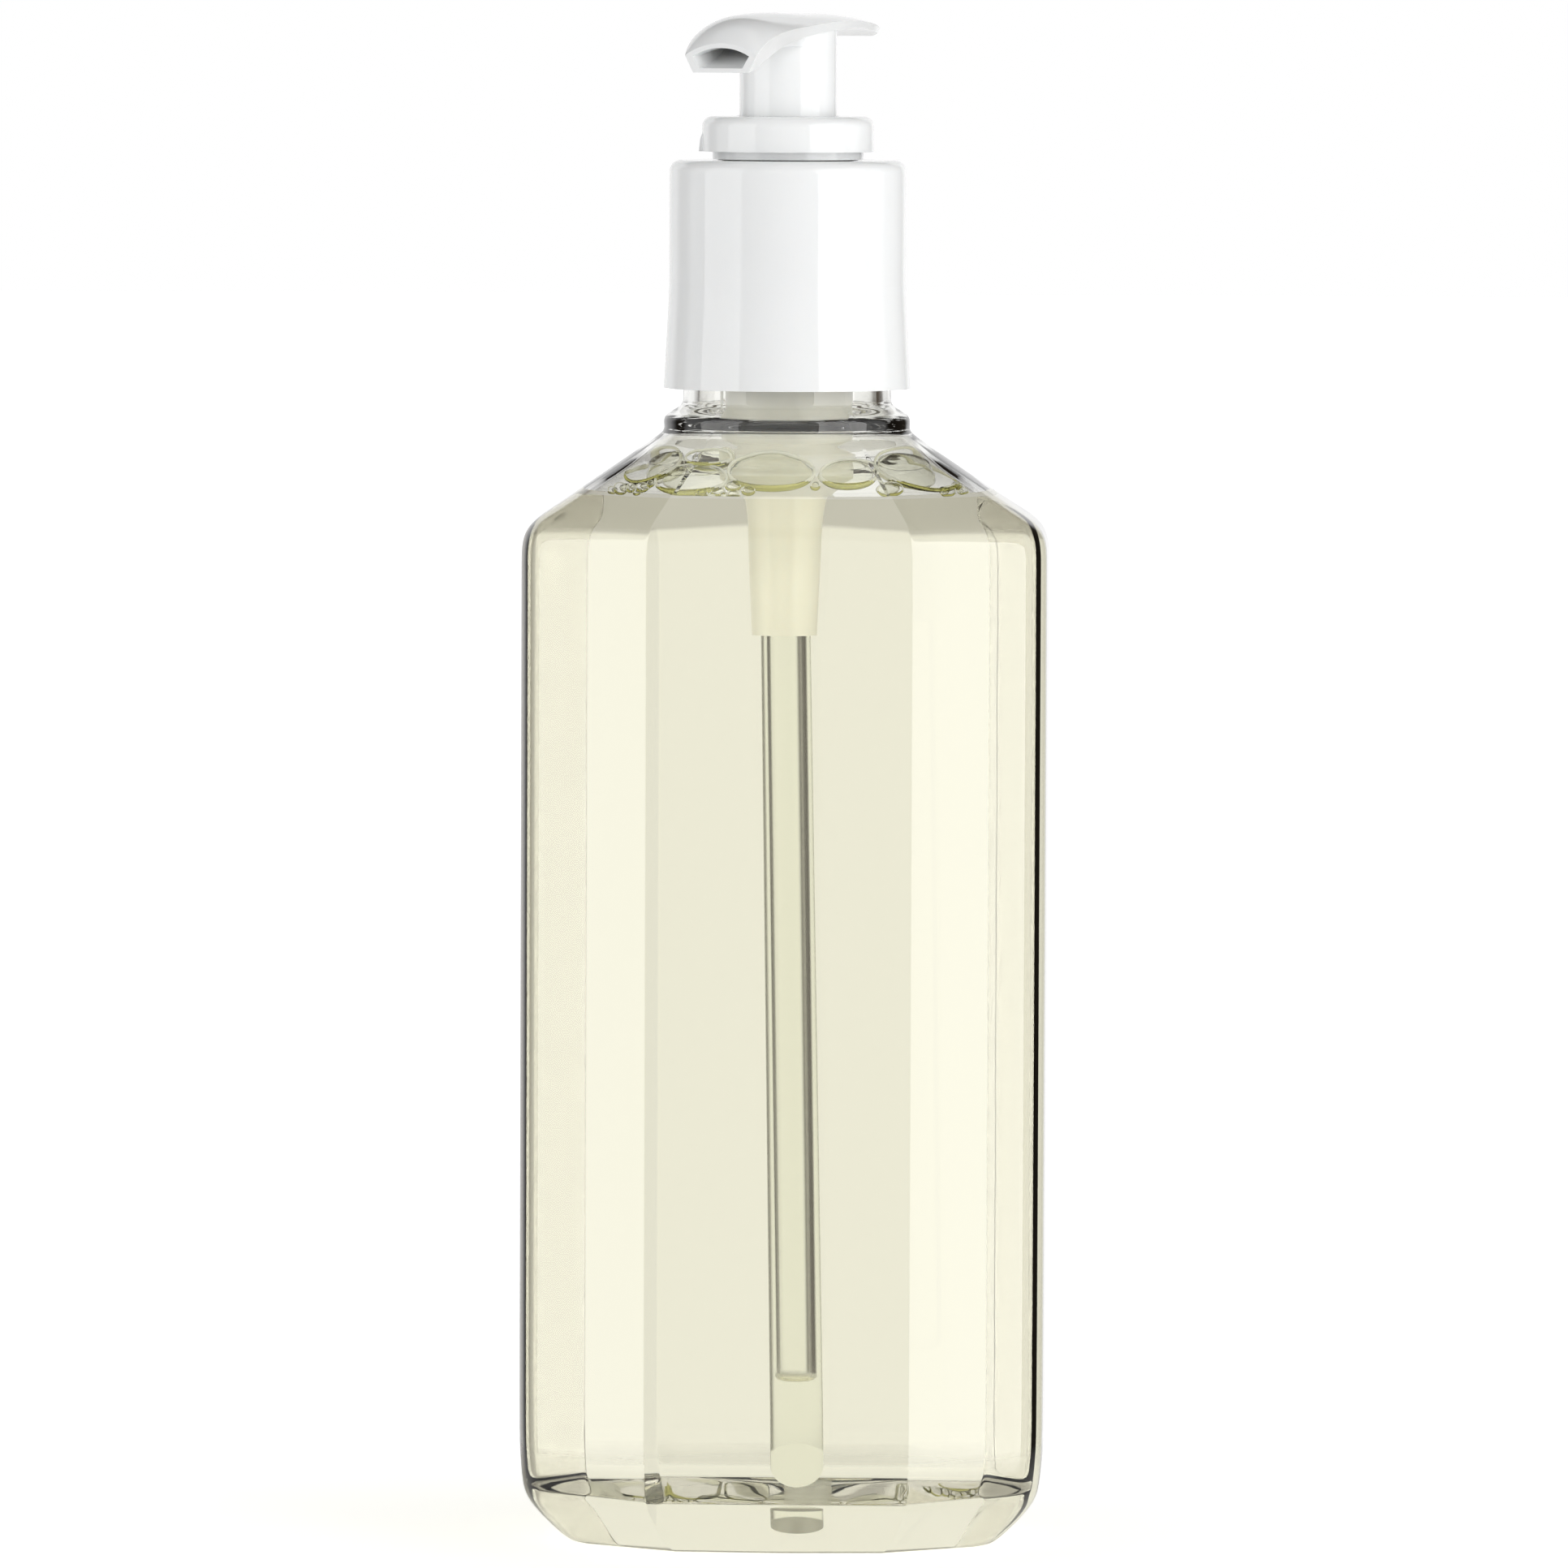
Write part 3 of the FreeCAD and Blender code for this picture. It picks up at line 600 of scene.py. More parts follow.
@dataclass
class BlownForm:
    """The eight-sided form of the bottle, raised ring by ring from its plan.

    A profile is a row of (height, reach) pairs.

    Attributes:
        inset: how far inside the bottle's outer face this form lies.
        floor: height of its lowest face.
        width: of the bottle.
        depth: of the bottle.
        front_flat: width of the flat front panel.
        facet_slope: depth that a corner facet gains per width.
        front_corner: rounding between front panel and facet.
        side_corner: rounding between facet and side.
        mid_wall: height that parts the heel from the shoulder.
        wall_rings: heights of the rings on the straight wall.
        thick_from: height from which the wall gets thicker.
        thickening: how fast it does, by the height squared.
        side_share: share of that at the sides.
        bead_radius: of the round bead under the collar.
        early_round: how far outside the bead the shoulder is already round.
        heel: half width of the foot.
        deep_heel: half depth of the foot, a large flat slope.
        shoulder: half width of the shoulder.
        bead: radius of the bead and the neck.
        punt_radius: of the dome in the base.
        dome: rise of the dome over the floor, and how far inside its rim that is.
    """

    inset: float
    floor: float
    width: float = 64.6
    depth: float = 50.0
    front_flat: float = 32.4
    facet_slope: float = math.tan(math.radians(40))
    front_corner: float = 0.06
    side_corner: float = 3.2
    mid_wall: float = 60.0
    wall_rings: tuple[float, ...] = (40.0, 66.0, 92.0)
    thick_from: float = 130.2
    thickening: float = 0.057
    side_share: float = 0.4
    bead_radius: float = 15.2
    early_round: float = 0.6
    heel: Profile = (
        (16.0, 32.3), (13.0, 32.24), (11.0, 32.12), (9.4, 31.98), (7.9, 31.8),
        (7.25, 31.64), (6.8, 31.5), (6.4, 31.34), (5.85, 31.1), (4.84, 30.42),
        (3.84, 29.6), (2.83, 28.65), (1.82, 27.65), (1.1, 26.9), (0.55, 26.15),
        (0.2, 25.4), (0.03, 24.6),
    )
    deep_heel: Profile = (
        (16.0, 25.0), (7.9, 25.0), (7.25, 24.93), (6.8, 24.66), (6.4, 24.2),
        (5.85, 23.4), (4.84, 21.9), (3.84, 20.4), (2.83, 18.85), (1.82, 17.3),
        (1.1, 16.2), (0.55, 15.3), (0.2, 14.65), (0.03, 14.2),
    )
    shoulder: Profile = (
        (117.0, 32.3), (120.5, 32.3), (122.5, 32.3), (123.5, 32.24), (124.5, 32.08),
        (125.3, 31.78), (126.0, 31.35), (126.6, 30.82), (127.2, 30.1), (127.9, 29.1),
        (128.9, 27.6), (129.9, 26.1), (131.0, 24.5), (132.5, 22.3), (134.2, 19.8),
    )
    bead: Profile = (
        (135.6, 17.75), (136.6, 16.3), (137.15, 15.6), (137.5, 15.27), (137.85, 15.15),
        (138.2, 15.17), (138.65, 15.22), (139.1, 15.15), (139.5, 14.85), (139.85, 14.35),
        (140.15, 13.85), (140.45, 13.35), (140.7, 13.08), (141.0, 12.9), (141.4, 12.8),
        (148.0, 12.8), (157.0, 12.8), (165.6, 12.8), (166.15, 12.65), (166.4, 12.2),
    )
    punt_radius: float = 11.4
    dome: Profile = (
        (0.3, 0.35), (0.75, 0.95), (1.15, 1.9), (1.45, 3.3), (1.75, 5.4), (2.0, 7.8),
    )

    def outer_reach(self, height: float) -> float:
        """Half width of the outer face at a height.

        Args:
            height: above the standing face.

        Returns:
            The half width.
        """
        return self.read(sorted(self.heel + self.shoulder + self.bead), height)

    @staticmethod
    def read(rows: Sequence[tuple[float, float]], height: float) -> float:
        """Read a reach between the rows of a profile.

        Args:
            rows: height and reach, from the lowest up.
            height: above the standing face.

        Returns:
            The reach.
        """
        for (low, a), (high, b) in zip(rows, rows[1:]):
            if low <= height <= high:
                return a + (b - a) * (height - low) / (high - low)
        return rows[0][1] if height < rows[0][0] else rows[-1][1]

    def depth_for(self, half_width: float, height: float) -> float:
        """Half depth of the outer face where its half width is known.

        Args:
            half_width: at that height.
            height: above the standing face.

        Returns:
            The half depth: by its own profile on the heel, drawn to a circle on the shoulder.
        """
        lost = self.width / 2 - half_width
        if height < self.mid_wall:
            return self.read(sorted(self.deep_heel), height)
        share = lost / (self.width / 2 - self.bead_radius)
        return self.depth / 2 - (self.depth / 2 - self.bead_radius) * min(share, 1) - max(
            0.0, self.bead_radius - half_width
        )

    def reach(self, height: float) -> tuple[float, float]:
        """Half width and half depth of this form at a height, with its wall taken off.

        Args:
            height: above the standing face.

        Returns:
            Half width and half depth.
        """
        step = 0.25
        wide = self.outer_reach(height)
        deep = self.depth_for(wide, height)
        above, below = self.outer_reach(height + step), self.outer_reach(height - step)
        rise = (above - below) / (2 * step)
        deep_above = self.depth_for(above, height + step)
        deep_below = self.depth_for(below, height - step)
        deep_rise = (deep_above - deep_below) / (2 * step)
        extra = max(0.0, height - self.thick_from) ** 2 * self.thickening if self.inset else 0.0
        return (
            wide - (self.inset + self.side_share * extra) * math.sqrt(1 + rise * rise),
            deep - (self.inset + extra) * math.sqrt(1 + deep_rise * deep_rise),
        )

    def roundness(self, height: float) -> float:
        """How far the ring at a height is drawn from the eight-sided plan to a circle.

        Args:
            height: above the standing face.

        Returns:
            0 for the plan to 1 for the circle.
        """
        lost = self.width / 2 - self.outer_reach(height)
        share = lost / (self.width / 2 - self.bead_radius - self.early_round)
        return 0.0 if height < self.mid_wall else max(0.0, min(1.0, share))

    def plan(self, height: float) -> Item:
        """Draw the plan of the bottle as an open ring at a height.

        Args:
            height: where the ring lies.

        Returns:
            The new object.
        """
        put_down()
        bpy.ops.mesh.primitive_plane_add(size=1, location=(0, 0, height * MM))
        ring = bpy.context.object
        cut = (self.width - self.front_flat) / 2
        uncut_depth = self.depth / self.facet_slope
        with editing(ring, "VERT", "SELECT"):
            bpy.ops.transform.resize(value=(self.width * MM, uncut_depth * MM, 1))
        pick_up(ring)
        bpy.ops.object.transform_apply(location=True)
        with editing(ring, "VERT", "SELECT"):
            bpy.ops.mesh.bevel(offset=cut * MM, affect="VERTICES", segments=1)
            bpy.ops.mesh.select_all(action="SELECT")
            bpy.ops.transform.resize(value=(1, self.facet_slope, 1))
            front = self.front_flat / 2 * MM
            choose_verts(lambda place: abs(abs(place.x) - front) < 0.1 * MM)
            bpy.ops.mesh.bevel(offset=self.front_corner * MM, affect="VERTICES", segments=2)
            side = self.width / 2 * MM
            choose_verts(lambda place: abs(abs(place.x) - side) < 0.1 * MM)
            bpy.ops.mesh.bevel(offset=self.side_corner * MM, affect="VERTICES", segments=8)
            bpy.ops.mesh.select_all(action="SELECT")
            bpy.ops.mesh.delete(type="ONLY_FACE")
        with editing(ring, "EDGE"):
            self.split_long_sides(ring)
        return ring

    @staticmethod
    def split_long_sides(ring: Item) -> None:
        """Divide the flat sides of the held plan, so that the shoulder can be drawn round.

        Args:
            ring: the object held in edit mode.
        """
        mesh = bmesh.from_edit_mesh(ring.data)
        for edge in mesh.edges:
            edge.select_set(edge.calc_length() > 8 * MM)
        bmesh.update_edit_mesh(ring.data)
        bpy.ops.mesh.subdivide(number_cuts=7)

    def next_ring(
        self, height: float, half_width: float, half_depth: float, rounding: float
    ) -> None:
        """Extrude the selected ring to a new height and size.

        Args:
            height: of the new ring.
            half_width: of the new ring.
            half_depth: of the new ring.
            rounding: share of the way to a circle that this step takes.
        """
        mesh = bmesh.from_edit_mesh(bpy.context.object.data)
        now = next(vert.co.z for vert in mesh.verts if vert.select)
        step = (0, 0, height * MM - now)
        bpy.ops.mesh.extrude_edges_move(TRANSFORM_OT_translate={"value": step})
        middle = (0, 0, height * MM)
        if rounding > 0:
            bpy.ops.transform.tosphere(value=rounding, center_override=middle)
        wide, deep = reach_of_choice()
        scale = (half_width * MM / wide, half_depth * MM / deep, 0)
        bpy.ops.transform.resize(value=scale, center_override=middle)

    def raise_rings(self, heights: Sequence[float], round_until: float = 0.0) -> float:
        """Raise a run of rings on this form.

        Args:
            heights: of the rings in order.
            round_until: roundness that the selected ring already has.

        Returns:
            The roundness of the last ring.
        """
        for height in heights:
            wide, deep = self.reach(height)
            goal = self.roundness(height)
            step = 0.0 if round_until >= 1 else 1 - (1 - goal) / (1 - round_until)
            self.next_ring(height, wide, deep, max(0.0, step))
            round_until = max(goal, round_until)
        return round_until

    def close_floor(self) -> None:
        """Lead the selected heel ring in over the base and its shallow dome, and close it."""
        wide, deep = self.reach(0.2 + self.floor * 0.7)
        rim = self.punt_radius + self.inset
        rings = [
            (0.0, wide - 2.2, deep - 0.7, 0.25),
            (0.0, rim + 3.4, rim + 1.1, 0.7),
            (0.06, rim + 0.3, rim + 0.25, 1.0),
        ]
        rings += [(rise, rim - inward, rim - inward, 0.0) for rise, inward in self.dome]
        rings += [(2.15, 2.0, 2.0, 0.0), (2.2, 0.6, 0.6, 0.0)]
        for rise, half_width, half_depth, rounding in rings:
            self.next_ring(self.floor + rise, half_width, half_depth, rounding)
        bpy.ops.mesh.edge_face_add()

    def build(
        self, name: str, top_rings: Sequence[tuple[float, float]], top_height: float
    ) -> Item:
        """Make the form from its base to its top.

        Args:
            name: of the object.
            top_rings: round rings that follow above the shoulder, as height and radius.
            top_height: heights of the shoulder above this one are left out.

        Returns:
            The object, open at its top ring, which stays the only open edge.
        """
        start = self.heel[0][0]
        ring = self.plan(start)
        ring.name = name
        with editing(ring, "VERT", "SELECT"):
            bpy.ops.transform.resize(value=self.first_scale(start))
            lowest = self.floor + 0.03
            self.raise_rings([height for height, _ in self.heel[1:] if height > lowest])
            self.close_floor()
            choose_verts(lambda place: abs(place.z - start * MM) < 0.01 * MM)
            heights = [*self.wall_rings, *(h for h, _ in self.shoulder if h <= top_height)]
            roundness = self.raise_rings(heights)
            for height, radius in top_rings:
                self.next_ring(height, radius, radius, 0.0 if roundness >= 1 else 1.0)
                roundness = 1.0
        return ring

    def first_scale(self, height: float) -> tuple[float, float, float]:
        """Scale that brings the plan in to this form's own size at a height."""
        wide, deep = self.reach(height)
        return wide / (self.width / 2), deep / (self.depth / 2), 1.0


@dataclass
class Bottle:
    """The clear bottle: an outer and an inner form joined at the lip.

    Attributes:
        bore: radius of the neck's bore.
        throat: height and radius of the inner face where it narrows to the bore.
        bore_rings: heights of the rings in the bore.
        heart: height of a point that the whole inner wall faces.
    """

    bore: float = 10.8
    throat: Profile = (
        (135.4, 15.9), (136.5, 15.0), (137.4, 14.1), (138.2, 13.05),
        (139.0, 11.95), (139.7, 11.25), (140.3, 10.95),
    )
    bore_rings: tuple[float, ...] = (141.0, 150.0, 158.0, 165.8)
    heart: float = 65.0

    def build(self) -> Item:
        """Make the bottle.

        Returns:
            The finished object.
        """
        outside = BlownForm(0.0, 0.0)
        shell = outside.build("bottle_shell", outside.bead, SIZES.shoulder_top)
        inside = BlownForm(SIZES.wall, SIZES.base)
        rings = [*self.throat, *((height, self.bore) for height in self.bore_rings)]
        rings += [(SIZES.lip - 0.26, self.bore + 0.14), (SIZES.lip - 0.1, self.bore + 0.45)]
        cavity = inside.build("cavity", rings, SIZES.shoulder_top)
        pick_up(shell, cavity)
        bpy.ops.object.join()
        edges = (SIZES.lip * MM, (SIZES.lip - 0.1) * MM)
        with editing(shell, "VERT"):
            choose_verts(lambda place: min(abs(place.z - edge) for edge in edges) < 0.01 * MM)
            bpy.ops.mesh.bridge_edge_loops()
        finish_mesh(shell)
        add_modifier(shell, "SUBSURF", {"levels": 1, "render_levels": 1})
        add_modifier(shell, "WEIGHTED_NORMAL", {"mode": "FACE_AREA", "weight": 60})
        dress(shell, BLOWN_PET.make(), WET_PET.make(), BACKED_PET.make())
        self.mark_wet_faces(shell)
        settle(shell, "bottle_shell", Body.BOTTLE, ["bottle"])
        return shell

    def mark_wet_faces(self, shell: Item) -> None:
        """Give the faces below the wash's level their own materials, inside and outside.

        Args:
            shell: the bottle.
        """
        heart = Vector((0, 0, self.heart * MM))
        for face in shell.data.polygons:
            inside = face.normal.dot(heart - face.center) > 0
            if face.center.z < SIZES.fill * MM:
                face.material_index = 1 if inside else 2


@dataclass
class Wash:
    """The wash in the bottle and its open surface.

    Attributes:
        gap: clearance to the inner wall.
        film: thickness of the surface slab.
        seam: clearance between the wash and the slab.
    """

    gap: float = 0.05
    film: float = 0.05
    seam: float = 0.02

    def build(self) -> list[Item]:
        """Make the liquid and its surface.

        Returns:
            The liquid and the surface.
        """
        form = BlownForm(SIZES.wall + self.gap, SIZES.base + self.gap)
        wide, deep = form.reach(SIZES.fill)
        pool = form.build("pool", (), SIZES.fill - 0.5)
        with editing(pool, "VERT"):
            mesh = bmesh.from_edit_mesh(pool.data)
            top = max(vert.co.z for vert in mesh.verts)
            choose_verts(lambda place: abs(place.z - top) < 0.02 * MM)
            form.next_ring(SIZES.fill - self.seam - self.film, wide, deep, 0.05)
            bpy.ops.mesh.edge_face_add()
        slab = self.surface(pool)
        finish_mesh(pool)
        dress(pool, WashLiquid().make())
        settle(pool, "face_wash_fill", Body.BOTTLE, ["face_wash"])
        return [pool, slab]

    def surface(self, pool: Item) -> Item:
        """Make the thin slab that stands for the open surface, from the pool's own top face.

        Args:
            pool: the liquid.

        Returns:
            The slab.
        """
        with editing(pool, "FACE"):
            choose_faces(lambda middle, _: middle.z > (SIZES.fill - 0.1) * MM)
            bpy.ops.mesh.duplicate()
            bpy.ops.mesh.separate(type="SELECTED")
        parts = (obj for obj in bpy.data.objects if obj.name.startswith(pool.name))
        slab = next(obj for obj in parts if obj is not pool)
        with editing(slab, "VERT", "SELECT"):
            bpy.ops.transform.translate(value=(0, 0, self.seam * MM))
            step = (0, 0, self.film * MM)
            bpy.ops.mesh.extrude_region_move(TRANSFORM_OT_translate={"value": step})
        finish_mesh(slab)
        pick_up(slab)
        bpy.ops.object.shade_flat()
        dress(slab, WASH_UNDER.make(), WASH_TOP.make())
        for face in slab.data.polygons:
            face.material_index = 1 if face.normal.z > 0.5 else 0
        settle(slab, "wash_surface", Body.BOTTLE)
        return slab


@dataclass(frozen=True)
class Bubble:
    """One soap bubble that is pressed against the wall.

    Attributes:
        across: its middle to the side.
        rise: its middle above the wash.
        width: along the wall.
        height: up the wall.
        depth: from the wall inwards.
        tip: how far it leans over, in degrees.
    """

    across: float
    rise: float
    width: float
    height: float
    depth: float = 4.0
    tip: float = 0.0


@dataclass
class Foam:
    """The row of bubbles along the front wall: thin films, and wet rims where they touch it.

    Attributes:
        half_width: of the inner wall at the wash's level.
        half_depth: of the inner wall there.
        wide_slope: how fast the wall closes in upwards at the sides.
        deep_slope: how fast it closes in at the front.
        plan_power: power of the oval that the wall follows, 2 for an ellipse.
        film: thickness of the films.
        rim: radius of a wet rim at a bubble's top.
        wet_rim: radius at its bottom, where wash gathers.
        sunk: how far the bubbles' feet hang into the wash.
        bubbles: the bubbles, large ones first.
    """

    half_width: float = 24.2
    half_depth: float = 20.0
    wide_slope: float = 1.79
    deep_slope: float = 1.07
    plan_power: float = 2.6
    film: float = 0.1
    rim: float = 0.17
    wet_rim: float = 0.42
    sunk: float = 0.12
    bubbles: tuple[Bubble, ...] = (
        Bubble(-15.9, 3.3, 7.6, 2.6, 3.4, 20),
        Bubble(-11.1, 2.0, 8.9, 3.1, 3.6, 4),
        Bubble(-8.9, 4.4, 5.6, 1.6, 3.0, 4),
        Bubble(-1.3, 3.05, 10.4, 3.9, 4.4),
        Bubble(8.1, 2.8, 6.9, 3.0, 3.6),
        Bubble(16.6, 2.95, 11.4, 3.7, 3.8, -12),
        Bubble(13.2, 0.95, 3.0, 1.5, 1.6),
        Bubble(20.2, 0.55, 1.6, 1.1, 1.2),
        Bubble(22.0, 0.4, 1.0, 0.8, 0.8),
        Bubble(21.3, 1.1, 1.0, 0.8, 0.8),
        Bubble(4.1, 1.5, 1.1, 0.9, 0.9),
        Bubble(-9.7, 0.4, 1.4, 0.9, 1.1),
        Bubble(-7.7, 0.7, 1.6, 1.1, 1.2),
        Bubble(-8.3, 0.2, 1.1, 0.7, 0.9),
        Bubble(-5.8, 0.4, 1.5, 1.0, 1.1),
        Bubble(-5.9, 1.4, 1.9, 1.1, 1.3),
        Bubble(-4.0, 0.9, 1.6, 1.0, 1.2),
        Bubble(-7.0, 0.3, 1.0, 0.7, 0.8),
        Bubble(-19.9, 0.7, 1.6, 1.1, 1.2),
        Bubble(-18.6, 0.9, 1.0, 0.9, 0.8),
        Bubble(-17.1, 1.0, 1.5, 1.0, 1.1),
        Bubble(-17.8, 0.5, 0.9, 0.7, 0.7),
        Bubble(-16.1, 1.4, 0.8, 0.7, 0.7),
        Bubble(-21.0, 0.4, 0.9, 0.7, 0.7),
    )

    def wall_place(self, across: float, rise: float, off: float) -> tuple[Vector, float]:
        """Where the inner wall is, to the side and above the wash.

        Args:
            across: place to the side.
            rise: above the wash.
            off: distance to stay off the wall.

        Returns:
            The place in millimetres and the wall's turn about the vertical.
        """
        wide = self.half_width - self.wide_slope * rise
        deep = self.half_depth - self.deep_slope * rise
        power = self.plan_power
        share = min(0.985, abs(across) / wide)
        y = -deep * (1 - share**power) ** (1 / power)
        slope = (share ** (power - 1)) * (1 - share**power) ** (1 / power - 1) * deep / wide
        turn = math.atan(slope) * (1 if across > 0 else -1)
        spot = Vector((math.copysign(share * wide, across), y, SIZES.fill + rise))
        return spot + Vector((-math.sin(turn), math.cos(turn), 0)) * off, turn

    def blow(self, bubble: Bubble) -> Item:
        """Make one bubble's film.

        Args:
            bubble: its sizes.

        Returns:
            The film, open where it meets the wash.
        """
        put_down()
        segments, rings = (40, 24) if bubble.width > 4 else (20, 12)
        bpy.ops.mesh.primitive_uv_sphere_add(segments=segments, ring_count=rings, radius=1)
        dome = bpy.context.object
        rise = bubble.rise - self.sunk
        place, turn = self.wall_place(bubble.across, rise, bubble.depth * 0.5 + 0.3)
        with editing(dome, "VERT", "SELECT"):
            size = (bubble.width / 2 * MM, bubble.depth / 2 * MM, bubble.height / 2 * MM)
            bpy.ops.transform.resize(value=size, center_override=(0, 0, 0))
        dome.rotation_euler = (0, -math.radians(bubble.tip), turn)
        dome.location = place * MM
        pick_up(dome)
        bpy.ops.object.transform_apply(location=True, rotation=True, scale=True)
        with editing(dome, "VERT", "SELECT"):
            level = (0, 0, (SIZES.fill + 0.03) * MM)
            bpy.ops.mesh.bisect(plane_co=level, plane_no=(0, 0, 1), clear_inner=True)
        return dome

    def lay_rim(self, bubble: Bubble, finishes: Sequence[Material]) -> Item:
        """Lay the wet rim of one bubble on the wall, thin at its top and full at its foot.

        Args:
            bubble: its sizes.
            finishes: of the film, the rim and the rim's wet foot.

        Returns:
            The rim as a closed mesh.
        """
        put_down()
        small = bubble.width < 4
        scale = 0.55 if small else 1.0
        data = bpy.data.curves.new("rim", "CURVE")
        data.dimensions = "3D"
        data.bevel_depth = self.rim * scale * MM
        data.bevel_resolution = 1 if small else 3
        spline = data.splines.new("NURBS")
        count = 16 if small else 32
        spline.points.add(count - 1)
        tip = math.radians(bubble.tip)
        for index, point in enumerate(spline.points):
            angle = 2 * math.pi * index / count
            side = math.copysign(abs(math.cos(angle)) ** 0.9, math.cos(angle)) * bubble.width / 2
            up = math.copysign(abs(math.sin(angle)) ** 0.9, math.sin(angle)) * bubble.height / 2
            across = bubble.across + side * math.cos(tip) - up * math.sin(tip)
            rise = max(0.06, bubble.rise - self.sunk + side * math.sin(tip) + up * math.cos(tip))
            foot = max(0.0, -math.sin(angle)) ** 1.5
            thick = 1 + foot * (self.wet_rim / self.rim - 1)
            place, _ = self.wall_place(across, rise, 0.12 + 0.4 * self.rim * scale * thick)
            point.co = (*(place * MM), 1)
            point.radius = thick
        spline.use_cyclic_u = True
        spline.order_u = 4
        rim = bpy.data.objects.new("rim", data)
        bpy.context.scene.collection.objects.link(rim)
        pick_up(rim)
        bpy.ops.object.convert(target="MESH")
        rim = bpy.context.object
        dress(rim, *finishes)
        wet = SIZES.fill + bubble.rise - self.sunk - bubble.height * (0.1 if small else 0.28)
        for face in rim.data.polygons:
            face.material_index = 2 if face.center.z < wet * MM else 1
        return rim

    def build(self) -> Item:
        """Make all the bubbles and their rims as one piece.

        Returns:
            The foam.
        """
        finishes = [SOAP_FILM.make(), SOAP_RIM.make(), WASH_FOOT.make()]
        domes = [self.blow(bubble) for bubble in self.bubbles]
        pick_up(*domes)
        bpy.ops.object.join()
        films = domes[0]
        add_modifier(films, "SOLIDIFY", {"thickness": self.film * MM, "offset": -1.0})
        dress(films, *finishes)
        rims = [self.lay_rim(bubble, finishes) for bubble in self.bubbles]
        pick_up(films, *rims)
        bpy.ops.object.join()
        pick_up(films)
        bpy.ops.object.shade_smooth()
        settle(films, "foam", Body.BOTTLE)
        return films


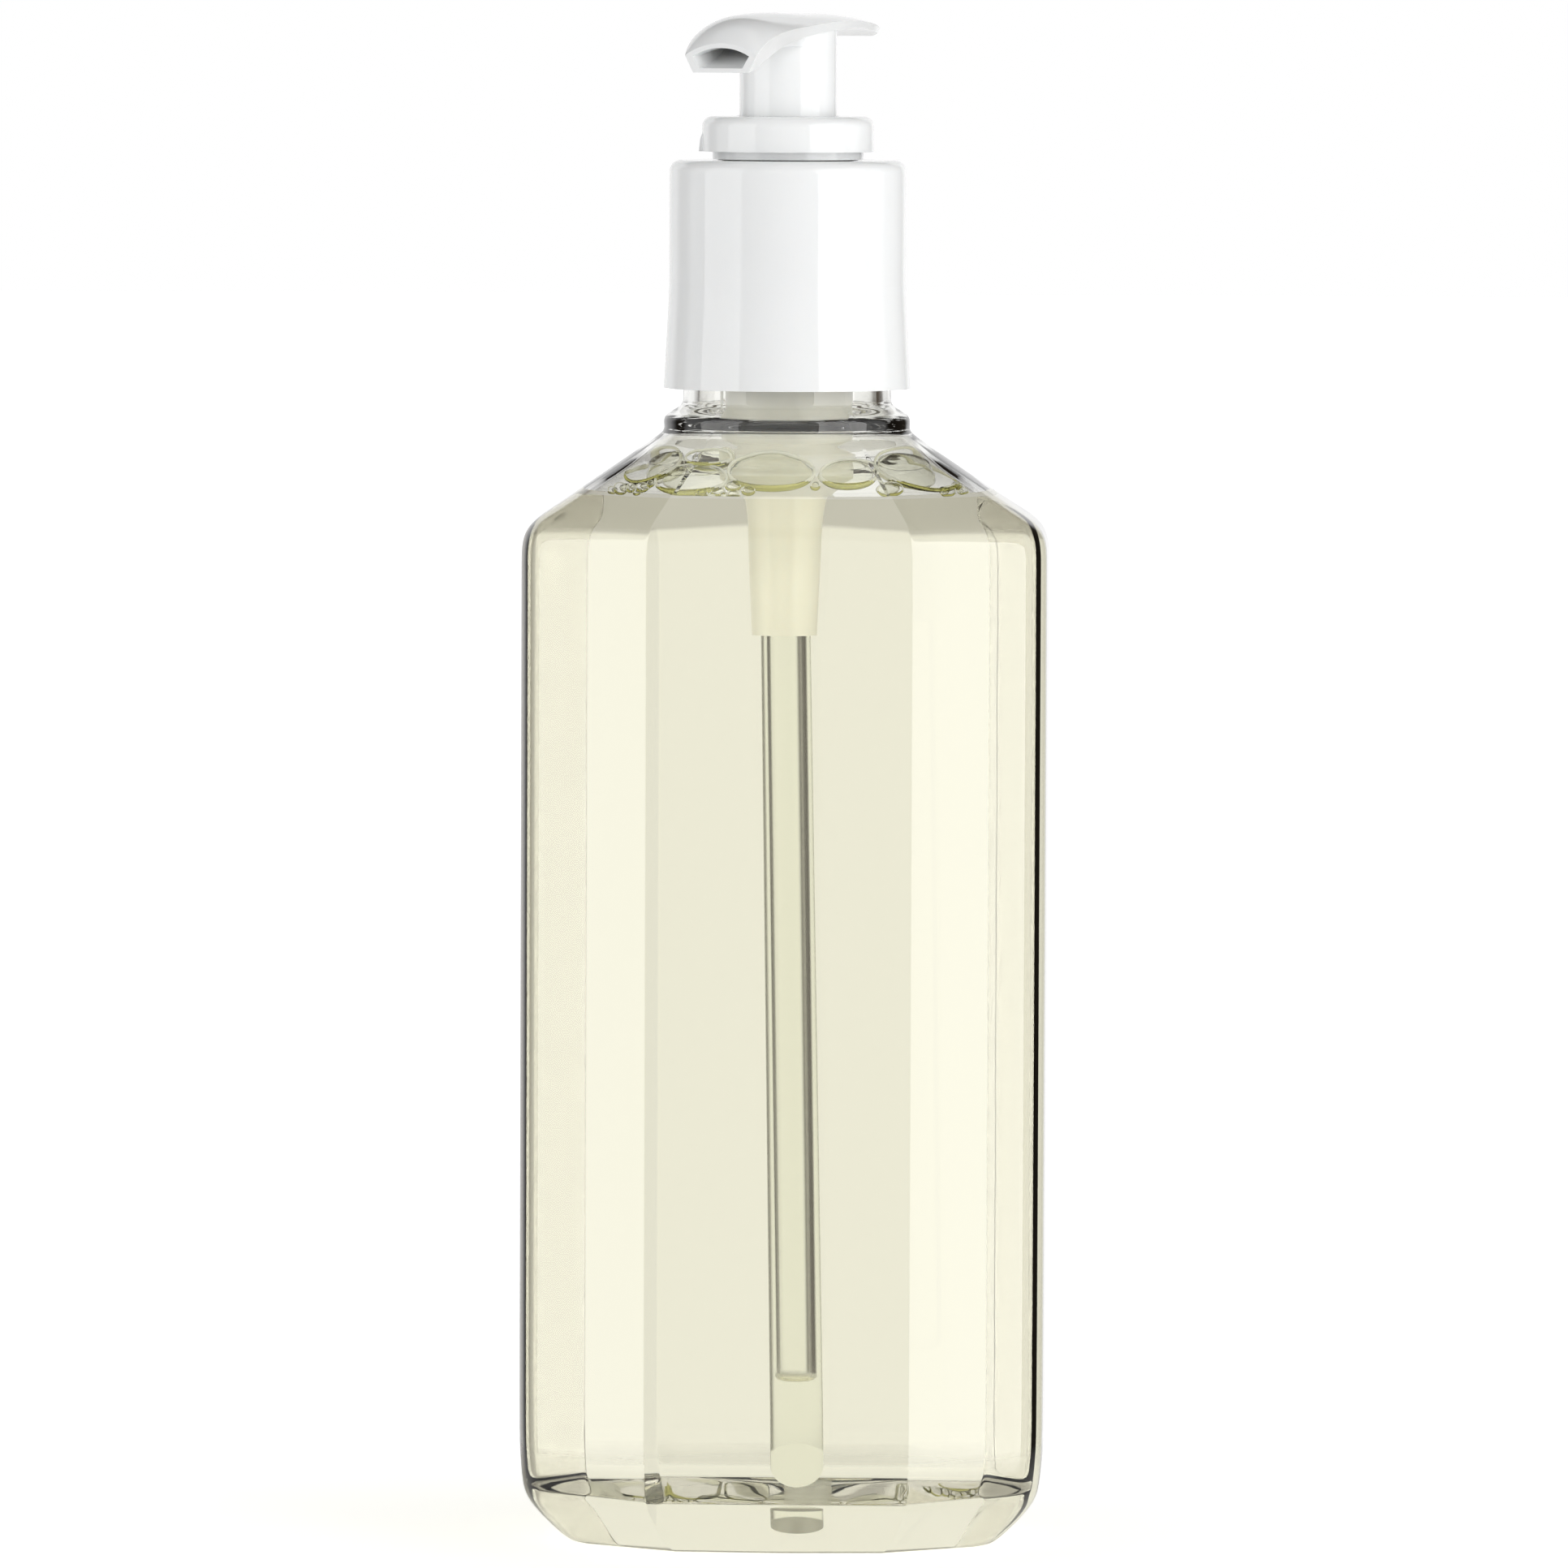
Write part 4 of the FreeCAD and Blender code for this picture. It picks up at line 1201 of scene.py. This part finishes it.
@dataclass
class DipTube:
    """The dip tube, leaning a little in its socket, and the air that stands in it.

    Attributes:
        radius: of its outer face.
        bore: radius of its bore.
        foot: height of its lowest point.
        top: height of its upper end in the pump's socket.
        cut: how much higher the other side of its slanted foot is.
        lean: how far its foot stands off the axis, to the side and to the back.
        air_foot: height of the lower end of the air.
        flare: how much wider the foot is than the top.
        socket: how much of it sits in the pump's socket.
        rings: heights of the rings along it.
    """

    radius: float = 3.03
    bore: float = 2.4
    foot: float = 7.75
    top: float = 122.5
    cut: float = 4.5
    lean: tuple[float, float] = (2.0, 0.5)
    air_foot: float = 20.6
    flare: float = 0.28
    socket: float = 9.9
    rings: tuple[float, ...] = (104.0, 92.0, 80.0, 68.0, 56.0, 44.0, 34.0, 26.0, 20.0, 16.0)

    def centre(self, height: float) -> Vector:
        """Middle of the tube at a height.

        Args:
            height: above the standing face.

        Returns:
            The place in metres.
        """
        share = max(0.0, (self.top - height) / (self.top - self.foot))
        return Vector((self.lean[0] * share * MM, self.lean[1] * share * MM, height * MM))

    def sweep(self, name: str, rows: Sequence[tuple[float, float]]) -> Item:
        """Make a closed rod along the tube's line by extruding a disc downwards ring by ring.

        Args:
            name: of the object.
            rows: height and radius of each ring, from the top.

        Returns:
            The rod.
        """
        put_down()
        height, radius = rows[0]
        bpy.ops.mesh.primitive_circle_add(
            vertices=72, radius=radius * MM, fill_type="NOTHING", location=self.centre(height)
        )
        rod = bpy.context.object
        rod.name = name
        pick_up(rod)
        bpy.ops.object.transform_apply(location=True)
        with editing(rod, "VERT", "SELECT"):
            bpy.ops.mesh.edge_face_add()
            before = height
            for height, reach in rows[1:]:
                step = self.centre(height) - self.centre(before)
                bpy.ops.mesh.extrude_region_move(TRANSFORM_OT_translate={"value": step})
                share = reach / radius
                middle = self.centre(height)
                bpy.ops.transform.resize(value=(share, share, 1), center_override=middle)
                before, radius = height, reach
        return rod

    def build(self) -> list[Item]:
        """Make the tube and its air.

        Returns:
            The tube and the air.
        """
        runs = [self.top - self.socket, *self.rings]
        foot = self.foot + self.cut / 2
        heights = (self.top, *runs, foot)
        skin = [(h, self.radius + self.flare * (1 - h / self.top)) for h in heights]
        outer = self.sweep("dip_tube_pe", skin)
        hollow = [(h, self.bore) for h in (self.top + 1, *runs, foot - self.cut)]
        inner = self.sweep("tube_bore", hollow)
        self.cut_foot(outer)
        # Known fault: the faces of both rods still point inwards here, so this cut takes nothing
        # away and the tube is left a solid rod. With finish_mesh on both before it, it cuts.
        cutting = {"object": inner, "operation": "DIFFERENCE", "solver": "EXACT"}
        add_modifier(outer, "BOOLEAN", cutting)
        bpy.data.objects.remove(inner)
        finish_mesh(outer, 40.0)
        dress(outer, TUBE_PE.make())
        settle(outer, "dip_tube_pe", Body.PUMP, ["dip_tube"])
        low = self.air_foot
        air_radius = self.bore - 0.03
        rows = [(h, air_radius) for h in [self.top - 0.2, *runs, low + 1.0] if h > low + 0.9]
        rows += [(low + 0.4, air_radius * 0.97), (low + 0.1, air_radius * 0.86)]
        rows += [(low - 0.1, air_radius * 0.6), (low - 0.16, air_radius * 0.3)]
        air = self.sweep("tube_air", rows)
        finish_mesh(air, 50.0)
        dress(air, TUBE_AIR.make())
        settle(air, "tube_air", Body.PUMP)
        return [outer, air]

    def cut_foot(self, tube: Item) -> None:
        """Cut the rod's foot aslant.

        Args:
            tube: the rod.
        """
        slope = self.cut / (2 * self.radius)
        middle = self.centre(self.foot + self.cut / 2)
        normal = Vector((0.0, -slope, 1.0))
        with editing(tube, "VERT"):
            choose_verts(lambda place: place.z < (self.foot + self.cut / 2 + 0.01) * MM)
            bpy.ops.transform.translate(value=(0, 0, -(self.cut / 2 + 0.5) * MM))
            bpy.ops.mesh.select_all(action="SELECT")
            bpy.ops.mesh.bisect(plane_co=middle, plane_no=normal, clear_inner=True, use_fill=True)


@dataclass
class PumpDress:
    """Finishes of the moulded pump parts, which keep their CAD shape."""

    def dress_all(self) -> None:
        """Put each CAD node's finish on it."""
        finishes = {
            WHITE_PP: ("pump_head", "lock_ring", "screw_collar"),
            NATURAL_PP: ("pump_housing", "stem", "poppet", "ball_cage", "piston_seal"),
            FOAM_PE: ("neck_gasket",),
            STEEL: ("return_spring", "valve_ball"),
        }
        for finish, names in finishes.items():
            material = finish.make()
            for name in names:
                dress(frame["nodes"][name], material)
                LOG.info("%s: CAD shape in %s", name, finish.name)


# ---------------------------------------------------------------- studio


@dataclass(frozen=True)
class Fade:
    """A soft change from one value to another.

    Attributes:
        start: where it begins.
        end: where it ends.
        before: the value up to its start.
        after: the value from its end on.
    """

    start: float
    end: float
    before: float
    after: float


@dataclass(frozen=True)
class SoftLamp:
    """A tall soft lamp that stands beside the bottle and faces it.

    Attributes:
        name: of the lamp.
        turn: angle from the camera's side, to the right, in degrees.
        spread: angle that its width covers, in degrees.
        glow: its brightness against white paper.
        distance: from the bottle in metres.
        height: of the lamp in metres.
        foot: height of its lower end in metres.
    """

    name: str
    turn: float
    spread: float
    glow: float
    distance: float = 0.4
    height: float = 0.58
    foot: float = -0.07

    def stand(self, camera_turn: float) -> None:
        """Stand the lamp in the studio.

        Args:
            camera_turn: the camera's own angle about the bottle, in degrees.
        """
        data = bpy.data.lights.new(self.name, "AREA")
        data.shape = "RECTANGLE"
        data.size = 2 * self.distance * math.tan(math.radians(self.spread / 2))
        data.size_y = self.height
        data.energy = self.glow * math.pi * data.size * data.size_y
        lamp = bpy.data.objects.new(self.name, data)
        bpy.context.scene.collection.objects.link(lamp)
        angle = math.radians(self.turn + camera_turn)
        across, ahead = math.sin(angle) * self.distance, -math.cos(angle) * self.distance
        lamp.location = (across, ahead, self.foot + self.height / 2)
        lamp.rotation_euler = (math.radians(90), 0, angle)
        lamp.visible_camera = False
        lamp.visible_transmission = False


@dataclass
class Studio:
    """White floor, pale surroundings, two tall soft lamps and the camera.

    The camera's sizes are millimetres and degrees. A fade runs over the height of a direction
    (1 straight up), or over its share to the right or to the back on the level.

    Attributes:
        camera_distance: from the bottle's axis.
        camera_height: above the floor.
        camera_turn: about the bottle, to the right.
        camera_tilt: downwards.
        camera_roll: about its own axis.
        camera_side: shift to its right.
        lens: focal length on the 36 mm sensor.
        open_floor: over the distance from the bottle, where glass no longer shows the floor.
        floor_glow: over the same distance, the light that keeps the floor white to the eye.
        paper_top: top of the white paper behind the bottle.
        paper_foot: foot of all that is bright.
        paper_right: right end of the paper.
        paper_left: left end of the paper.
        side_end: where the white sides end towards the back.
        corner_side: where the dimmed corner at the right begins.
        corner_back: where it ends towards the back.
        corner_dim: how much it is dimmed.
        side_glow: brightness of the sides.
        side_top: their upper part.
        overhead: the bright ceiling.
        dim_room: sRGB hex of all the rest.
        fill_glow: even light that falls on what is not glossy.
        lamps: the soft lamps.
    """

    camera_distance: float = 1600.0
    camera_height: float = 195.35
    camera_turn: float = 2.0
    camera_tilt: float = 3.63
    camera_roll: float = 0.22
    camera_side: float = -0.2
    lens: float = 298.15
    open_floor: Fade = Fade(0.07, 0.12, 0.0, 1.0)
    floor_glow: Fade = Fade(0.03, 0.3, 0.35, 1.0)
    paper_top: Fade = Fade(0.42, 0.5, 1.0, 0.0)
    paper_foot: Fade = Fade(-0.3, -0.23, 0.62, 1.0)
    paper_right: Fade = Fade(0.32, 0.56, 1.0, 0.0)
    paper_left: Fade = Fade(-0.84, -0.66, 0.0, 1.0)
    side_end: Fade = Fade(0.24, 0.4, 1.0, 0.0)
    corner_side: Fade = Fade(0.4, 0.8, 0.0, 1.0)
    corner_back: Fade = Fade(-0.35, -0.12, 1.0, 0.0)
    corner_dim: float = 0.6
    side_glow: float = 0.93
    side_top: Fade = Fade(0.42, 0.6, 1.0, 0.5)
    overhead: Fade = Fade(0.8, 0.9, 0.0, 0.8)
    dim_room: str = "4d453c"
    fill_glow: float = 0.285
    lamps: tuple[SoftLamp, ...] = (
        SoftLamp("soft_lamp_right", 54, 50, 2.7),
        SoftLamp("soft_lamp_left", -66, 42, 1.7),
    )

    def build(self) -> None:
        """Make the studio."""
        self.make_camera()
        self.make_floor()
        self.make_world()
        for lamp in self.lamps:
            lamp.stand(self.camera_turn)
        scene = bpy.context.scene
        scene.view_settings.view_transform = "Standard"
        scene.cycles.max_bounces = 24
        scene.cycles.transmission_bounces = 24
        scene.cycles.transparent_max_bounces = 16
        scene.cycles.glossy_bounces = 8
        scene.cycles.diffuse_bounces = 4
        scene.cycles.caustics_reflective = False
        scene.cycles.caustics_refractive = True

    def make_camera(self) -> None:
        """Set the camera at its place."""
        camera = bpy.data.objects.new("camera", bpy.data.cameras.new("camera"))
        bpy.context.scene.collection.objects.link(camera)
        camera.data.lens = self.lens
        camera.data.sensor_width = 36.0
        camera.data.clip_start = 0.1
        camera.data.clip_end = 50.0
        turn = math.radians(self.camera_turn)
        spot = Vector((math.sin(turn), -math.cos(turn), 0)) * self.camera_distance * MM
        spot += Vector((math.cos(turn), math.sin(turn), 0)) * self.camera_side * MM
        spot.z = self.camera_height * MM
        aim = (
            Matrix.Rotation(turn, 4, "Z")
            @ Matrix.Rotation(math.radians(90 - self.camera_tilt), 4, "X")
            @ Matrix.Rotation(math.radians(self.camera_roll), 4, "Z")
        )
        camera.matrix_world = Matrix.Translation(spot) @ aim
        bpy.context.scene.camera = camera

    def make_floor(self) -> None:
        """Lay a wide white floor that keeps the bottle's shadow."""
        put_down()
        bpy.ops.mesh.primitive_plane_add(size=12, location=(0, 0, -0.00005))
        floor = bpy.context.object
        floor.name = "floor"
        material, tree = new_material("studio_floor")
        place = add_node(tree, "ShaderNodeTexCoord").outputs["Object"]
        span = add_node(tree, "ShaderNodeVectorMath", {0: place}, operation="LENGTH")
        away = span.outputs["Value"]
        path = add_node(tree, "ShaderNodeLightPath").outputs
        bent = self.combine(tree, "MAXIMUM", path["Is Transmission Ray"], path["Is Glossy Ray"])
        far = self.fade_node(tree, away, self.open_floor, "LINEAR")
        glow = self.fade_node(tree, away, self.floor_glow, "LINEAR")
        lit = add_node(tree, "ShaderNodeBsdfDiffuse", {"Color": tint("f2f2f2")}).outputs[0]
        lift = add_node(tree, "ShaderNodeEmission", {"Color": tint("ffffff"), "Strength": glow})
        seen = add_node(tree, "ShaderNodeAddShader", {0: lit, 1: lift.outputs[0]}).outputs[0]
        plain = self.mix(tree, path["Is Camera Ray"], lit, seen)
        clear = add_node(tree, "ShaderNodeBsdfTransparent").outputs[0]
        surface = self.mix(tree, self.combine(tree, "MULTIPLY", far, bent), plain, clear)
        add_node(tree, "ShaderNodeOutputMaterial", {"Surface": surface})
        dress(floor, material)

    def make_world(self) -> None:
        """Put white paper behind the bottle, pale sides round it and a dim room for the rest."""
        world = bpy.data.worlds.new("studio")
        bpy.context.scene.world = world
        world.use_nodes = True
        tree = world.node_tree
        tree.nodes.clear()
        ray = add_node(tree, "ShaderNodeTexCoord").outputs["Generated"]
        up = add_node(tree, "ShaderNodeSeparateXYZ", {0: ray}).outputs["Z"]
        links = {0: ray, 1: (1, 1, 0)}
        level = add_node(tree, "ShaderNodeVectorMath", links, operation="MULTIPLY")
        links = {0: level.outputs["Vector"]}
        compass = add_node(tree, "ShaderNodeVectorMath", links, operation="NORMALIZE")
        facing = add_node(tree, "ShaderNodeSeparateXYZ", {0: compass.outputs["Vector"]}).outputs
        rightward, backward = facing["X"], facing["Y"]
        fade = partial(self.fade_node, tree)
        times = partial(self.combine, tree, "MULTIPLY")
        corner = times(fade(rightward, self.corner_side), fade(backward, self.corner_back))
        links = {0: corner, 1: -self.corner_dim, 2: self.side_glow}
        flag = add_node(tree, "ShaderNodeMath", links, operation="MULTIPLY_ADD").outputs[0]
        sides = times(fade(backward, self.side_end), flag, fade(up, self.side_top))
        ends = fade(rightward, self.paper_right), fade(rightward, self.paper_left)
        paper = times(*ends, fade(up, self.paper_top))
        bright = self.combine(tree, "MAXIMUM", paper, sides, fade(up, self.overhead))
        bright = times(bright, fade(up, self.paper_foot))
        white = self.background(tree, "ffffff", 1.0)
        room = self.mix(tree, bright, self.background(tree, self.dim_room, 1.0), white)
        path = add_node(tree, "ShaderNodeLightPath").outputs
        fill = self.background(tree, "ffffff", self.fill_glow)
        soft = self.mix(tree, path["Is Diffuse Ray"], room, fill)
        surface = self.mix(tree, path["Is Camera Ray"], soft, white)
        add_node(tree, "ShaderNodeOutputWorld", {"Surface": surface})

    @staticmethod
    def background(tree: Tree, code: str, glow: float) -> Socket:
        """Add an even background.

        Args:
            tree: the node tree.
            code: sRGB hex of its colour.
            glow: its strength.

        Returns:
            The socket with it.
        """
        links = {"Color": tint(code), "Strength": glow}
        return add_node(tree, "ShaderNodeBackground", links).outputs[0]

    @staticmethod
    def mix(tree: Tree, share: Socket, first: Socket, second: Socket) -> Socket:
        """Mix two shaders.

        Args:
            tree: the node tree.
            share: how much of the second there is.
            first: a shader.
            second: another one.

        Returns:
            The socket with the mix.
        """
        return add_node(tree, "ShaderNodeMixShader", {0: share, 1: first, 2: second}).outputs[0]

    @staticmethod
    def combine(tree: Tree, operation: str, *values: Socket) -> Socket:
        """Join values by arithmetic, one after the other.

        Args:
            tree: the node tree.
            operation: MULTIPLY or MAXIMUM.
            values: what is joined.

        Returns:
            The socket with the result.
        """
        joined = values[0]
        for value in values[1:]:
            links = {0: joined, 1: value}
            joined = add_node(tree, "ShaderNodeMath", links, operation=operation).outputs[0]
        return joined

    @staticmethod
    def fade_node(tree: Tree, value: Socket, fade: Fade, curve: str = "SMOOTHSTEP") -> Socket:
        """Add a fade.

        Args:
            tree: the node tree.
            value: what it runs over.
            fade: where and how far.
            curve: its form.

        Returns:
            The socket with the faded value.
        """
        links = {"Value": value, 1: fade.start, 2: fade.end, 3: fade.before, 4: fade.after}
        return add_node(tree, "ShaderNodeMapRange", links, interpolation_type=curve).outputs[0]


def main() -> None:
    """Build every piece in order, then the studio."""
    logging.basicConfig(level=logging.INFO, format="%(message)s")
    Bottle().build()
    Wash().build()
    Foam().build()
    DipTube().build()
    PumpDress().dress_all()
    Studio().build()


if __name__ == "__main__":
    main()
